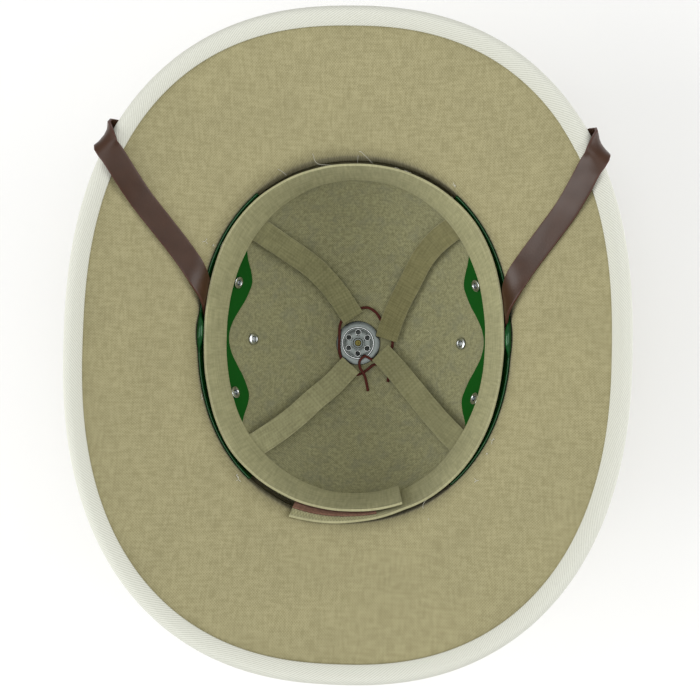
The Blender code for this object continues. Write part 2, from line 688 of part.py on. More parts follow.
def main():
    for piece in list(bpy.data.objects):
        bpy.data.objects.remove(piece, do_unlink=True)
    khaki = make_material("khaki_cover_cloth", (0.36, 0.33, 0.20), 0.9)
    facing = make_material("khaki_facing_cloth", (0.38, 0.34, 0.20), 0.9)
    olive = make_material("olive_lining_cloth", (0.25, 0.23, 0.13), 0.9)
    cream = make_material("cream_twill", (0.72, 0.73, 0.62), 0.85)
    band = make_material("khaki_band_cloth", (0.30, 0.29, 0.17), 0.9)
    patch = make_material("hook_and_loop", (0.16, 0.06, 0.04), 0.95)
    green = make_material("green_coated_strip", (0.005, 0.075, 0.01), 0.35)
    leather = make_material("brown_leather", (0.07, 0.03, 0.025), 0.45)
    zinc = make_material("zinc", (0.55, 0.57, 0.60), 0.35, 1.0)
    brass = make_material("brass", (0.60, 0.45, 0.20), 0.35, 1.0)
    cord = make_material("brown_cord", (0.08, 0.015, 0.01), 0.8)

    places = [eyelet_place(degrees, along) for _, degrees, along, _ in EYELETS]
    strip_places = [place for place, eyelet in zip(places, EYELETS) if eyelet[3]]
    build_shell(khaki, facing, olive, cream, places)
    build_headband(band, patch)
    build_strips(green, strip_places)
    build_eyelets(zinc)
    build_cradle(band)
    build_chin_strap(leather)
    build_ventilator(zinc, brass)
    build_lace(cord)


main()
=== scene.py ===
"""The looks of a pith helmet that lies crown-down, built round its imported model.

Metres, +Z up out of the hollow, +Y to the helmet's front.
"""
import math
import random

import bmesh
import bpy
from mathutils import Matrix, Vector, noise


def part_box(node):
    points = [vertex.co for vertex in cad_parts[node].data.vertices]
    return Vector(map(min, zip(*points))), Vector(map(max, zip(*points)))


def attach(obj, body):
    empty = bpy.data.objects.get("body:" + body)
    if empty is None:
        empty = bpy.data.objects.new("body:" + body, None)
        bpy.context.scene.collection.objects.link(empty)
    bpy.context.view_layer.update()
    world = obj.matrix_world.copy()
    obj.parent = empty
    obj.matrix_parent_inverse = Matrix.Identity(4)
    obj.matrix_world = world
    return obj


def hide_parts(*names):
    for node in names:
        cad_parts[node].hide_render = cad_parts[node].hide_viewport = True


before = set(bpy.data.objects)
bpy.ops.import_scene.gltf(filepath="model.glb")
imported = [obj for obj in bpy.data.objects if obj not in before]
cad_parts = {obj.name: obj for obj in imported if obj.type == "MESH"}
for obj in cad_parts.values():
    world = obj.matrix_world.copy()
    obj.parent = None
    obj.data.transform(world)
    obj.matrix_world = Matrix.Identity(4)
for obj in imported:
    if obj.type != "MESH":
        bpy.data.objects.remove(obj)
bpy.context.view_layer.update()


# The view straight down into the hollow, a little off its middle and turned a little,
# from 45 cm over the rim. The frame is square.
FRAME_PIXELS = 700
FOCAL_PIXELS = 869.7
TARGET_PIXEL = (342.4, 340.1)
TARGET = Vector((0.0, 0.0, 0.1463))
DISTANCE = 0.450
LEAN_RIGHT, LEAN_FRONT, TURN = math.radians(3.11), math.radians(-2.32), math.radians(-1.4)

away = Vector((math.sin(LEAN_RIGHT), math.sin(LEAN_FRONT), 1.0)).normalized()
across = Vector((math.sin(TURN), math.cos(TURN), 0.0)).cross(away).normalized()
axes = Matrix((across, away.cross(across), away)).transposed().to_4x4()
camera = bpy.data.objects.new("camera", bpy.data.cameras.new("camera"))
camera.data.lens = camera.data.sensor_width * FOCAL_PIXELS / FRAME_PIXELS
camera.data.shift_x = 0.5 - TARGET_PIXEL[0] / FRAME_PIXELS
camera.data.shift_y = TARGET_PIXEL[1] / FRAME_PIXELS - 0.5
camera.data.clip_start = 0.01
camera.matrix_world = Matrix.Translation(TARGET + away * DISTANCE) @ axes
bpy.context.scene.collection.objects.link(camera)
bpy.context.scene.camera = camera
bpy.context.scene.view_settings.view_transform = "Standard"


# A plain pale floor, and soft studio light from both sides and from above.
FLOOR_SIZE = 8.0
FLOOR_COLOUR = "FFFFFE"
SKY_STRENGTH = 0.44


def linear(colour):
    """Linear red, green, blue and alpha of an sRGB hex colour."""
    parts = [int(colour[i:i + 2], 16) / 255 for i in (0, 2, 4)]
    return (*(p / 12.92 if p <= 0.04045 else ((p + 0.055) / 1.055) ** 2.4 for p in parts), 1.0)


def add(tree, kind, inputs, **settings):
    """Add a shader node, set it, and fill each of its inputs with a value or a link."""
    node = tree.nodes.new("ShaderNode" + kind)
    for name, value in settings.items():
        setattr(node, name, value)
    for key, value in inputs.items():
        if isinstance(value, bpy.types.NodeSocket):
            tree.links.new(value, node.inputs[key])
        else:
            node.inputs[key].default_value = value
    return node


def new_material(name):
    """An empty material with its tree and its Principled BSDF."""
    material = bpy.data.materials.new(name)
    material.use_nodes = True
    return material, material.node_tree, material.node_tree.nodes["Principled BSDF"]


def finish_piece(name, shape, *materials):
    """Make a smooth object of a bmesh."""
    mesh = bpy.data.meshes.new(name)
    shape.to_mesh(mesh)
    shape.free()
    mesh.shade_smooth()
    for material in materials:
        mesh.materials.append(material)
    piece = bpy.data.objects.new(name, mesh)
    bpy.context.scene.collection.objects.link(piece)
    return piece


floor_paint, tree, shader = new_material("matt_floor_paint")
grit = add(tree, "TexNoise", {"Scale": 60.0, "Detail": 4.0})
tree.links.new(add(tree, "Bump", {"Height": grit.outputs[0], "Distance": 0.0004, "Strength": 0.2}).outputs[0],
               shader.inputs["Normal"])
shader.inputs["Base Color"].default_value = linear(FLOOR_COLOUR)
shader.inputs["Roughness"].default_value = 0.85
shape = bmesh.new()
bmesh.ops.create_grid(shape, x_segments=2, y_segments=2, size=FLOOR_SIZE / 2)
finish_piece("floor", shape, floor_paint)

world = bpy.data.worlds.new("studio")
bpy.context.scene.world = world
world.use_nodes = True
world.node_tree.nodes["Background"].inputs["Strength"].default_value = SKY_STRENGTH
world.node_tree.nodes["Background"].inputs["Color"].default_value = (1.0, 1.0, 1.0, 1.0)

LIGHTS = (
    # (name, place in metres, width and height in metres, watts)
    ("left_softbox", (-1.20, -0.30, 0.80), 0.9, 11.5),
    ("right_softbox", (1.25, 0.10, 0.65), 0.9, 8.5),
    ("top_softbox", (0.05, -0.10, 1.70), 1.1, 6.5),
)
for name, place, size, power in LIGHTS:
    light = bpy.data.lights.new(name, "AREA")
    light.shape = "SQUARE"
    light.size = size
    light.energy = power
    lamp = bpy.data.objects.new(name, light)
    lamp.location = place
    lamp.rotation_euler = (Vector((0.0, 0.0, 0.1)) - Vector(place)).to_track_quat("-Z", "Y").to_euler()
    bpy.context.scene.collection.objects.link(lamp)


# The drawcord: a red-brown braided cotton cord that gathers the four straps round the
# ventilator and is looped over itself below it, with two short tails.
LACE_RADIUS = 0.0009
LACE_ROUTE = (
    (0.0109, -0.0281, 0.0215), (0.0096, -0.0222, 0.0203), (0.0080, -0.0169, 0.0216),
    (0.0056, -0.0137, 0.0214), (0.0048, -0.0089, 0.0214), (0.0084, -0.0051, 0.0214),
    (0.0131, -0.0076, 0.0207), (0.0190, -0.0081, 0.0196), (0.0254, -0.0013, 0.0200),
    (0.0259, 0.0086, 0.0201), (0.0191, 0.0178, 0.0194), (0.0148, 0.0241, 0.0197),
    (0.0094, 0.0271, 0.0198), (0.0043, 0.0264, 0.0195), (-0.0030, 0.0234, 0.0192),
    (-0.0081, 0.0172, 0.0192), (-0.0089, 0.0065, 0.0195), (-0.0082, -0.0047, 0.0194),
    (-0.0034, -0.0132, 0.0189), (0.0033, -0.0177, 0.0191), (0.0089, -0.0150, 0.0188),
    (0.0154, -0.0102, 0.0187), (0.0217, -0.0120, 0.0200), (0.0241, -0.0172, 0.0213),
    (0.0238, -0.0218, 0.0221),
)


def smooth_route(rows, step):
    """Read rows of a point and a facing direction as one smooth route, about a sample a step."""
    lengths = [(Vector(b[:3]) - Vector(a[:3])).length for a, b in zip(rows, rows[1:])]
    samples = []
    last = len(rows) - 1

    def slope(i, k):
        if i == 0:
            return (rows[1][k] - rows[0][k]) / lengths[0]
        if i == last:
            return (rows[last][k] - rows[last - 1][k]) / lengths[-1]
        before, after = lengths[i - 1], lengths[i]
        left, right = (rows[i][k] - rows[i - 1][k]) / before, (rows[i + 1][k] - rows[i][k]) / after
        return (left * after + right * before) / (before + after)

    for i, length in enumerate(lengths):
        count = max(1, round(length / step))
        for j in range(count + (i == last - 1)):
            t = j / count
            row = [rows[i][k] * (1 + 2 * t) * (1 - t) ** 2 + rows[i + 1][k] * (3 - 2 * t) * t * t
                   + slope(i, k) * length * t * (1 - t) ** 2 - slope(i + 1, k) * length * t * t * (1 - t)
                   for k in range(len(rows[0]))]
            samples.append(row)
    return samples


lace_cotton, tree, shader = new_material("red_brown_lace_cotton")
place = add(tree, "TexCoord", {})
plies = add(tree, "TexNoise", {"Vector": place.outputs["Object"], "Scale": 1400.0, "Detail": 2.0})
strands = add(tree, "Mix", {0: plies.outputs[0], 6: linear("38130D"), 7: linear("6E2A20")}, data_type="RGBA")
relief = add(tree, "Bump", {"Height": plies.outputs[0], "Distance": 0.0003, "Strength": 0.7})
tree.links.new(strands.outputs[2], shader.inputs["Base Color"])
tree.links.new(relief.outputs[0], shader.inputs["Normal"])
shader.inputs["Roughness"].default_value = 0.85

lace_points = smooth_route(LACE_ROUTE, 3 * LACE_RADIUS)
curve = bpy.data.curves.new("drawcord", "CURVE")
curve.dimensions = "3D"
curve.bevel_depth = LACE_RADIUS
curve.bevel_resolution = 3
curve.use_fill_caps = True
spline = curve.splines.new("POLY")
spline.points.add(len(lace_points) - 1)
for target, point in zip(spline.points, lace_points):
    target.co = (*point, 1.0)
curve.materials.append(lace_cotton)
drawcord = bpy.data.objects.new("drawcord", curve)
bpy.context.scene.collection.objects.link(drawcord)
lace_length = sum((Vector(b) - Vector(a)).length for a, b in zip(lace_points, lace_points[1:]))
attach(drawcord, "root")
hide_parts("lace")
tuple(lace_points[0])


# The shell: pith moulded in one with its glued cover of khaki cotton, which is the outer
# side. It is an oval dome whose edge turns out through a round lip into the brim.
RIM_LENGTH, RIM_WIDTH, RIM_SQUARENESS = 0.3485, 0.2955, 2.35
CROWN_LENGTH, CROWN_WIDTH, CROWN_SQUARENESS = 0.209, 0.181, 2.15
CROWN_DEPTH, CROWN_FULLNESS = 0.090, 2.02
CROWN_AXIS = Vector((0.0035, 0.0035, 0.0))
OPENING_HEIGHT = 0.1043
BRIM_DROP, SIDE_ARCH, BRIM_SLOPE = 0.045, 0.006, math.radians(26)
LIP_RADIUS, LIP_SHARE = 0.010, 0.2
SHELL_WALL, CLOTH_WALL, GAP, TAPE_WALL = 0.004, 0.001, 0.0003, 0.001
OPENING, RIM = 1.0, 2.0
FACING_TOP = GAP + CLOTH_WALL
VENT_HOLE_RADIUS = 0.0112
EYELET_HOLE_RADIUS = 0.0026
EYELETS = (
    # (name, degrees round the crown, how near the opening, on a green strip)
    ("green_eyelet_1", 155.4, 0.700, True),
    ("green_eyelet_2", 204.5, 0.700, True),
    ("green_eyelet_3", 25.2, 0.698, True),
    ("green_eyelet_4", 335.4, 0.700, True),
    ("vent_eyelet_left", 180.0, 0.531, False),
    ("vent_eyelet_right", 0.0, 0.531, False),
)


def oval_radius(angle, half_width, half_length, squareness):
    """Radius of a squarish oval at an angle from its wide side."""
    wide = abs(math.cos(angle) / half_width) ** squareness
    long = abs(math.sin(angle) / half_length) ** squareness
    return (wide + long) ** (-1 / squareness)


def shell_point(angle, along):
    """A point on the shell's inner face: along is 0 at the top, 1 at the opening and 2 at the rim."""
    outward = Vector((math.cos(angle), math.sin(angle), 0.0))
    opening_radius = oval_radius(angle, CROWN_WIDTH / 2, CROWN_LENGTH / 2, CROWN_SQUARENESS)
    if along <= OPENING:
        sine, cosine = math.sin(along * math.pi / 2), math.cos(along * math.pi / 2)
        fullness = (sine ** CROWN_FULLNESS + cosine ** CROWN_FULLNESS) ** (-1 / CROWN_FULLNESS)
        point = CROWN_AXIS + outward * opening_radius * fullness * sine
        point.z = OPENING_HEIGHT - CROWN_DEPTH * fullness * cosine
        return point
    edge = TAPE_WALL + GAP
    rim_radius = oval_radius(angle, RIM_WIDTH / 2 - edge, RIM_LENGTH / 2 - edge, RIM_SQUARENESS)
    start = CROWN_AXIS + outward * opening_radius
    run = outward * rim_radius - start
    share = along - OPENING
    lip_turn = math.pi / 2 - BRIM_SLOPE
    if share < LIP_SHARE:
        turn = lip_turn * share / LIP_SHARE
        out, up = LIP_RADIUS * (1 - math.cos(turn)), LIP_RADIUS * math.sin(turn)
    else:
        lip = Vector((LIP_RADIUS * (1 - math.cos(lip_turn)), LIP_RADIUS * math.sin(lip_turn)))
        rim = Vector((run.length, BRIM_DROP - SIDE_ARCH * math.cos(angle) ** 2))
        middle = lip + Vector((math.cos(BRIM_SLOPE), math.sin(BRIM_SLOPE))) * (rim - lip).length / 2
        rest = (share - LIP_SHARE) / (1 - LIP_SHARE)
        out, up = lip * (1 - rest) ** 2 + middle * 2 * rest * (1 - rest) + rim * rest ** 2
    point = start + run * (out / run.length)
    point.z = OPENING_HEIGHT + up
    return point


def shell_normal(angle, along):
    """The shell's direction towards the wearer."""
    step = 1e-4
    onward = shell_point(angle, min(along + step, RIM)) - shell_point(angle, along - step)
    round_the_crown = shell_point(angle + step, along) - shell_point(angle - step, along)
    return onward.cross(round_the_crown).normalized()


def above_shell(angle, along, height):
    """A point so far above the shell's inner face."""
    return shell_point(angle, along) + shell_normal(angle, along) * height


def vent_row(angle):
    """How far out the ventilator's hole lies."""
    opening_radius = oval_radius(angle, CROWN_WIDTH / 2, CROWN_LENGTH / 2, CROWN_SQUARENESS)
    return math.asin(VENT_HOLE_RADIUS / opening_radius) * 2 / math.pi


def eyelet_place(degrees, along):
    """An eyelet's axis, with its zero on the shell's inner face."""
    angle = math.radians(degrees)
    turn = shell_normal(angle, along).to_track_quat("Z", "Y").to_matrix().to_4x4()
    return Matrix.Translation(shell_point(angle, along)) @ turn


def moulded_grid(columns, rows, lay, ring=True):
    """A grid whose points lay(across, up) puts in place, with a flat cloth UV in metres.

    lay gets shares from 0 to 1 and gives a point and its place in the uncut cloth.
    """
    shape = bmesh.new()
    uv = shape.loops.layers.uv.new("cloth")
    bmesh.ops.create_grid(shape, x_segments=columns, y_segments=rows, size=0.5, calc_uvs=True)
    laid = {vert: lay(vert.co.x + 0.5, vert.co.y + 0.5) for vert in shape.verts}
    for face in shape.faces:
        for loop in face.loops:
            loop[uv].uv = laid[loop.vert][1]
    for vert, (point, _) in laid.items():
        vert.co = point
    if ring:
        bmesh.ops.remove_doubles(shape, verts=shape.verts, dist=1e-6)
    return shape


def harden(piece):
    """Put the result of a piece's modifiers in its mesh."""
    graph = bpy.context.evaluated_depsgraph_get()
    mesh = bpy.data.meshes.new_from_object(piece.evaluated_get(graph), depsgraph=graph)
    piece.modifiers.clear()
    piece.data = mesh


def give_wall(piece, thickness, bevel=0.0):
    """Thicken a surface away from the side that shows, and round its edges."""
    wall = piece.modifiers.new("wall", "SOLIDIFY")
    wall.thickness = thickness
    wall.offset = -1.0
    if bevel:
        rounding = piece.modifiers.new("rounding", "BEVEL")
        rounding.width = bevel
        rounding.segments = 3
        rounding.limit_method = "ANGLE"
        rounding.angle_limit = math.radians(50)
    harden(piece)


def punch(piece, radius, places):
    """Cut round holes through a piece."""
    shape = bmesh.new()
    for place in places:
        bmesh.ops.create_cone(shape, cap_ends=True, segments=24, radius1=radius, radius2=radius, depth=0.03,
                              matrix=place)
    cutter = finish_piece("cutter", shape)
    cut = piece.modifiers.new("holes", "BOOLEAN")
    cut.solver = "EXACT"
    cut.object = cutter
    harden(piece)
    bpy.data.objects.remove(cutter, do_unlink=True)


def woven_cotton(name, colour, shade, thread, patches, slub=10.0, stain=None, highlight_folds=()):
    """Plain-woven cotton, matt and slightly uneven, with single threads lighter and darker.

    thread is the weave's spacing in metres, patches the share of soft colour change, slub how
    much longer than wide a thread's thick places are, stain a second colour in blotches, and
    the last argument where, across the cloth in metres, a folded edge gets a pale painted highlight.
    """
    material, tree, shader = new_material(name)
    flat = add(tree, "UVMap", {}, uv_map="cloth")
    fine, coarse = 0.5 / thread, 0.5 / (thread * slub)
    lengthwise = add(tree, "Mapping", {"Vector": flat.outputs[0], "Scale": (fine, coarse, 1.0)})
    crosswise = add(tree, "Mapping", {"Vector": flat.outputs[0], "Scale": (coarse, fine, 1.0)})
    warp = add(tree, "TexNoise", {"Vector": lengthwise.outputs[0], "Scale": 1.0, "Detail": 2.0})
    weft = add(tree, "TexNoise", {"Vector": crosswise.outputs[0], "Scale": 1.0, "Detail": 2.0})
    threads = add(tree, "Math", {0: warp.outputs[0], 1: weft.outputs[0]}, operation="ADD")
    waves = add(tree, "VectorMath", {0: flat.outputs[0], 1: (math.pi / thread,) * 3}, operation="MULTIPLY")
    waves = add(tree, "VectorMath", {0: waves.outputs[0]}, operation="SINE")
    over = add(tree, "SeparateXYZ", {0: waves.outputs[0]})
    weave = add(tree, "Math", {0: over.outputs[0], 1: over.outputs[1]}, operation="MULTIPLY")
    height = add(tree, "Math", {0: weave.outputs[0], 1: 0.35, 2: threads.outputs[0]},
                 operation="MULTIPLY_ADD")
    tone = add(tree, "MapRange", {"Value": height.outputs[0], "From Min": 0.75, "From Max": 1.25})
    cloth = add(tree, "Mix", {0: tone.outputs[0], 6: linear(shade), 7: linear(colour)}, data_type="RGBA")
    place = add(tree, "TexCoord", {})
    if stain:
        blots = add(tree, "TexNoise", {"Vector": place.outputs["Object"], "Scale": 130.0, "Detail": 4.0})
        share = add(tree, "MapRange", {"Value": blots.outputs[0], "From Min": 0.48, "From Max": 0.75,
                                       "To Max": 0.45})
        cloth = add(tree, "Mix", {0: share.outputs[0], 6: cloth.outputs[2], 7: linear(stain)},
                    data_type="RGBA")
    parts = add(tree, "SeparateXYZ", {0: flat.outputs[0]})
    # Painted highlight: a pale line along each listed fold, standing for the light a folded edge catches.
    for fold in highlight_folds:
        off = add(tree, "Math", {0: parts.outputs[1], 1: fold}, operation="SUBTRACT")
        off = add(tree, "Math", {0: off.outputs[0]}, operation="ABSOLUTE")
        painted_highlight = add(tree, "MapRange", {"Value": off.outputs[0], "From Min": 0.0006, "From Max": 0.0002,
                                      "To Max": 0.35})
        cloth = add(tree, "Mix", {0: painted_highlight.outputs[0], 6: cloth.outputs[2], 7: linear("B9B693")},
                    data_type="RGBA")
    clouds = add(tree, "TexNoise", {"Vector": place.outputs["Object"], "Scale": 45.0, "Detail": 3.0})
    spread = add(tree, "MapRange", {"Value": clouds.outputs[0], "From Min": 0.3, "From Max": 0.7,
                                    "To Min": 1.0 - patches, "To Max": 1.0 + patches})
    uneven = add(tree, "VectorMath", {0: cloth.outputs[2], 3: spread.outputs[0]}, operation="SCALE")
    relief = add(tree, "Bump", {"Height": height.outputs[0], "Distance": 0.0002, "Strength": 0.35})
    tree.links.new(uneven.outputs[0], shader.inputs["Base Color"])
    tree.links.new(relief.outputs[0], shader.inputs["Normal"])
    shader.inputs["Roughness"].default_value = 0.92
    shader.inputs["Sheen Weight"].default_value = 0.1
    shader.inputs["Sheen Roughness"].default_value = 0.6
    shader.inputs["Specular IOR Level"].default_value = 0.25
    return material


# thread spacing is drawn at about twice the real 0.35 mm, so that it shows
cover_cotton = woven_cotton("khaki_cover_cotton", "A69F79", "918A64", 0.0007, 0.04)
hole_places = [eyelet_place(degrees, along) for _, degrees, along, _ in EYELETS]


def lay_cover(turn, up):
    angle = turn * 2 * math.pi
    start = vent_row(angle)
    along = start + (RIM - start) * up
    point = above_shell(angle, along, -SHELL_WALL)
    radial = 0.14 * along
    return point, (radial * math.cos(angle), radial * math.sin(angle))


shell_cover = finish_piece("shell_cover", moulded_grid(180, 80, lay_cover), cover_cotton)
give_wall(shell_cover, SHELL_WALL)
punch(shell_cover, EYELET_HOLE_RADIUS, hole_places)
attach(shell_cover, "root")
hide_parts("shell")


# The brim's facing: a sheet of khaki cotton stretched and glued over the brim's underside
# and turned down over the opening's lip, where its cut edge is hidden by the headband.
FACING_START = 0.93
facing_cotton = woven_cotton("khaki_facing_cotton", "ADA67F", "98916B", 0.0007, 0.035, slub=5.0)


def lay_facing(up, turn):
    angle = turn * 2 * math.pi
    along = FACING_START + (RIM - FACING_START) * up
    ripple = 0.00012 * noise.noise(shell_point(angle, along) * 35)
    point = above_shell(angle, along, FACING_TOP + ripple)
    return point, point.xy


brim_facing_cloth = finish_piece("brim_facing_cloth", moulded_grid(70, 240, lay_facing), facing_cotton)
give_wall(brim_facing_cloth, CLOTH_WALL)
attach(brim_facing_cloth, "root")
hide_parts("brim_facing")


# The crown's lining: the same cotton, pressed into the dome in one piece and glued, a
# little greyer because less light reaches it.
LINING_END = 0.87
lining_cotton = woven_cotton("olive_lining_cotton", "A9A781", "858360", 0.0007, 0.05, slub=2.0,
                             stain="80826F")


def lay_lining(up, turn):
    angle = turn * 2 * math.pi
    start = vent_row(angle)
    along = start + (LINING_END - start) * up
    ripple = 0.00018 * noise.noise(shell_point(angle, along) * 60)
    point = above_shell(angle, along, FACING_TOP + ripple)
    radial = 0.14 * along
    return point, (radial * math.cos(angle), radial * math.sin(angle))


crown_lining_cloth = finish_piece("crown_lining_cloth", moulded_grid(60, 200, lay_lining), lining_cotton)
give_wall(crown_lining_cloth, CLOTH_WALL)
punch(crown_lining_cloth, EYELET_HOLE_RADIUS, hole_places)
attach(crown_lining_cloth, "root")
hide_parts("crown_lining")


# The rim's binding: cream cotton twill tape with slanting ribs, folded over the rim and
# glued. Its woven selvage makes small scallops along both edges.
TAPE_WIDTH = 0.0078
TAPE_TOP = FACING_TOP + GAP + TAPE_WALL
TAPE_UNDER = -SHELL_WALL - GAP - TAPE_WALL
TAPE_NOSE = (TAPE_TOP - TAPE_UNDER) / 2
RIB_SPACING = 0.0010
RIB_SLANT = math.radians(33)
RIM_GIRTH = 1.02
JOINT_START, JOINT_END, JOINT_RISE = math.radians(40.0), math.radians(46.0), 0.0005
SCALLOP_PITCH, SCALLOP_LENGTH, SCALLOP_RADIUS = 0.00105, 0.00100, 0.00026

tape_twill, tree, shader = new_material("cream_twill_tape")
flat = add(tree, "UVMap", {}, uv_map="cloth")
slant = add(tree, "Mapping", {"Vector": flat.outputs[0], "Rotation": (0.0, 0.0, RIB_SLANT)})
ribs = add(tree, "TexWave", {"Vector": slant.outputs[0], "Scale": 0.1 * math.pi / RIB_SPACING,
                             "Distortion": 0.6, "Detail": 1.0, "Detail Scale": 2.0}, bands_direction="Y")
slubs = add(tree, "TexNoise", {"Vector": flat.outputs[0], "Scale": 900.0, "Detail": 2.0})
height = add(tree, "Math", {0: slubs.outputs[0], 1: 0.5, 2: ribs.outputs[0]}, operation="MULTIPLY_ADD")
tone = add(tree, "MapRange", {"Value": height.outputs[0], "From Min": 0.1, "From Max": 0.8})
twill = add(tree, "Mix", {0: tone.outputs[0], 6: linear("C3C4B6"), 7: linear("E2E3D7")}, data_type="RGBA")
relief = add(tree, "Bump", {"Height": height.outputs[0], "Distance": 0.0002, "Strength": 0.4})
tree.links.new(twill.outputs[2], shader.inputs["Base Color"])
tree.links.new(relief.outputs[0], shader.inputs["Normal"])
shader.inputs["Roughness"].default_value = 0.85
shader.inputs["Sheen Weight"].default_value = 0.1


def tape_frame(angle):
    """The brim's edge: its last point, the way out and the way to the wearer."""
    rim_point, normal = shell_point(angle, RIM), shell_normal(angle, RIM)
    out = (rim_point - shell_point(angle, RIM - 0.08)).normalized()
    return rim_point, out, normal


def lay_tape(fold, turn):
    angle = turn * 2 * math.pi
    rim_point, out, normal = tape_frame(angle)
    straight = TAPE_WIDTH - (TAPE_NOSE - GAP - TAPE_WALL)
    half = straight + TAPE_NOSE * math.pi / 2
    travelled = (2 * fold - 1) * half
    side = min(abs(travelled), TAPE_NOSE * math.pi / 2) * (1 if travelled > 0 else -1)
    swing = side / TAPE_NOSE
    back = abs(travelled) - abs(side)
    puff = 0.00025 * math.sin(math.pi * min(back / straight, 1.0)) if back > 0 else 0.0
    reach = GAP + TAPE_WALL - TAPE_NOSE + TAPE_NOSE * math.cos(swing) - back
    if JOINT_START < angle < JOINT_END:
        puff += JOINT_RISE
    rise = (TAPE_TOP + TAPE_UNDER) / 2 - (TAPE_NOSE + puff) * math.sin(swing)
    return rim_point + out * reach + normal * rise, (turn * RIM_GIRTH, travelled)


rim_tape = finish_piece("rim_tape", moulded_grid(24, 720, lay_tape), tape_twill)
give_wall(rim_tape, TAPE_WALL, 0.0003)
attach(rim_tape, "root")
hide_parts("rim_binding")

stitch_thread, tree, shader = new_material("cream_cotton_thread")
place = add(tree, "TexCoord", {})
twist = add(tree, "TexNoise", {"Vector": place.outputs["Object"], "Scale": 2500.0, "Detail": 1.0})
strand = add(tree, "Mix", {0: twist.outputs[0], 6: linear("C4C2B0"), 7: linear("E6E5DA")}, data_type="RGBA")
tree.links.new(strand.outputs[2], shader.inputs["Base Color"])
shader.inputs["Roughness"].default_value = 0.8


def selvage(name, height_over):
    """A row of small loops of thread along the tape's inner edge, on one side of the brim."""
    shape = bmesh.new()
    bmesh.ops.create_uvsphere(shape, u_segments=6, v_segments=5, radius=1.0,
                              matrix=Matrix.Rotation(math.pi / 2, 4, "Y"))
    shape.verts.index_update()
    bead_points = [vert.co.copy() for vert in shape.verts]
    bead_faces = [[vert.index for vert in face.verts] for face in shape.faces]
    shape.free()
    points, faces = [], []
    angle, inset = 0.0, TAPE_WIDTH - 0.0001
    while angle < 2 * math.pi:
        rim_point, out, normal = tape_frame(angle)
        rim_ahead, out_ahead, _ = tape_frame(angle + 0.001)
        middle = rim_point - out * inset
        ahead = rim_ahead - out_ahead * inset - middle
        side = ahead.cross(normal).normalized()
        turn = Matrix((ahead.normalized(), side, side.cross(ahead.normalized()))).transposed().to_4x4()
        size = Matrix.Diagonal((SCALLOP_LENGTH / 2, SCALLOP_RADIUS, SCALLOP_RADIUS, 1.0))
        place = Matrix.Translation(middle + normal * height_over) @ turn @ size
        first = len(points)
        points.extend(place @ point for point in bead_points)
        faces.extend([first + corner for corner in face] for face in bead_faces)
        angle += SCALLOP_PITCH * 0.001 / ahead.length
    row = bpy.data.meshes.new("row_of_loops")
    row.from_pydata(points, [], faces)
    shape = bmesh.new()
    shape.from_mesh(row)
    bpy.data.meshes.remove(row)
    loops = finish_piece(name, shape, stitch_thread)
    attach(loops, "root")


selvage("tape_selvage_inside", TAPE_TOP - TAPE_WALL / 2)
selvage("tape_selvage_outside", TAPE_UNDER + TAPE_WALL / 2)


# The headband: an upright ring of folded khaki cotton whose ends overlap at the back of
# the head. Its upper edge is a fold, drawn with a pale painted highlight along it.
BAND_WALL, BAND_HEIGHT, BAND_PROUD, PATCH_WALL = 0.0014, 0.032, 0.001, 0.001
STRIP_TOP = FACING_TOP + 0.0017
BAND_LAP = BAND_WALL + PATCH_WALL + 2 * GAP
LAP_NEAR_SHARE, LAP_FAR_SHARE = 0.35, 0.70
BAND_NEAR_SIDE, BAND_FAR_SIDE = STRIP_TOP + 0.0025, STRIP_TOP + 0.0031
BAND_NEAR_END = FACING_TOP + BAND_LAP * (1 - LAP_NEAR_SHARE) + GAP + 0.0020
BAND_FAR_END = FACING_TOP + BAND_LAP * (1 - LAP_FAR_SHARE) + GAP + 0.0006
BAND_CORNER_TUCK, BAND_FRONT_RISE = 0.0014, 0.004
FLAP_OUT, FLAP_UP, FLAP_BEND = 0.0049, 0.0088, 0.1
BAND_OUTER_END, BAND_INNER_END = 252.0, 288.0
BAND_LENGTH = 0.60


def ramp(value, start, end):
    """0 at the start and 1 at the end, eased."""
    share = min(max((value - start) / (end - start), 0.0), 1.0)
    return share * share * (3 - 2 * share)


def band_point(degrees, share, inward):
    """A point in the headband: share 0 is its near edge and 1 its far one.

    The outer end's near edge leans out over the opening's lip.
    """
    angle = math.radians(degrees)
    outward = Vector((math.cos(angle), math.sin(angle), 0.0))
    opening_radius = oval_radius(angle, CROWN_WIDTH / 2, CROWN_LENGTH / 2, CROWN_SQUARENESS)
    near_side = BAND_NEAR_SIDE - BAND_CORNER_TUCK * math.sin(2 * angle) ** 4
    far_depth = BAND_HEIGHT - BAND_PROUD - BAND_FRONT_RISE * max(math.sin(angle), 0.0) ** 2
    edges = []
    for depth, side, end in ((-BAND_PROUD, near_side, BAND_NEAR_END),
                             (far_depth, BAND_FAR_SIDE, BAND_FAR_END)):
        sunk = max(depth, 0.0) / CROWN_DEPTH
        radius = opening_radius * (1 - sunk ** CROWN_FULLNESS) ** (1 / CROWN_FULLNESS)
        radius -= side + (end - side) * math.sin(angle) ** 6 + inward
        edges.append(CROWN_AXIS + outward * radius + Vector((0.0, 0.0, OPENING_HEIGHT - depth)))
    lap = BAND_INNER_END - BAND_OUTER_END
    lean = min(max((BAND_INNER_END - degrees) / lap, 0.0), 1.0) * max(1 - share / FLAP_BEND, 0.0)
    return edges[0].lerp(edges[1], share) + (outward * FLAP_OUT + Vector((0.0, 0.0, FLAP_UP))) * lean


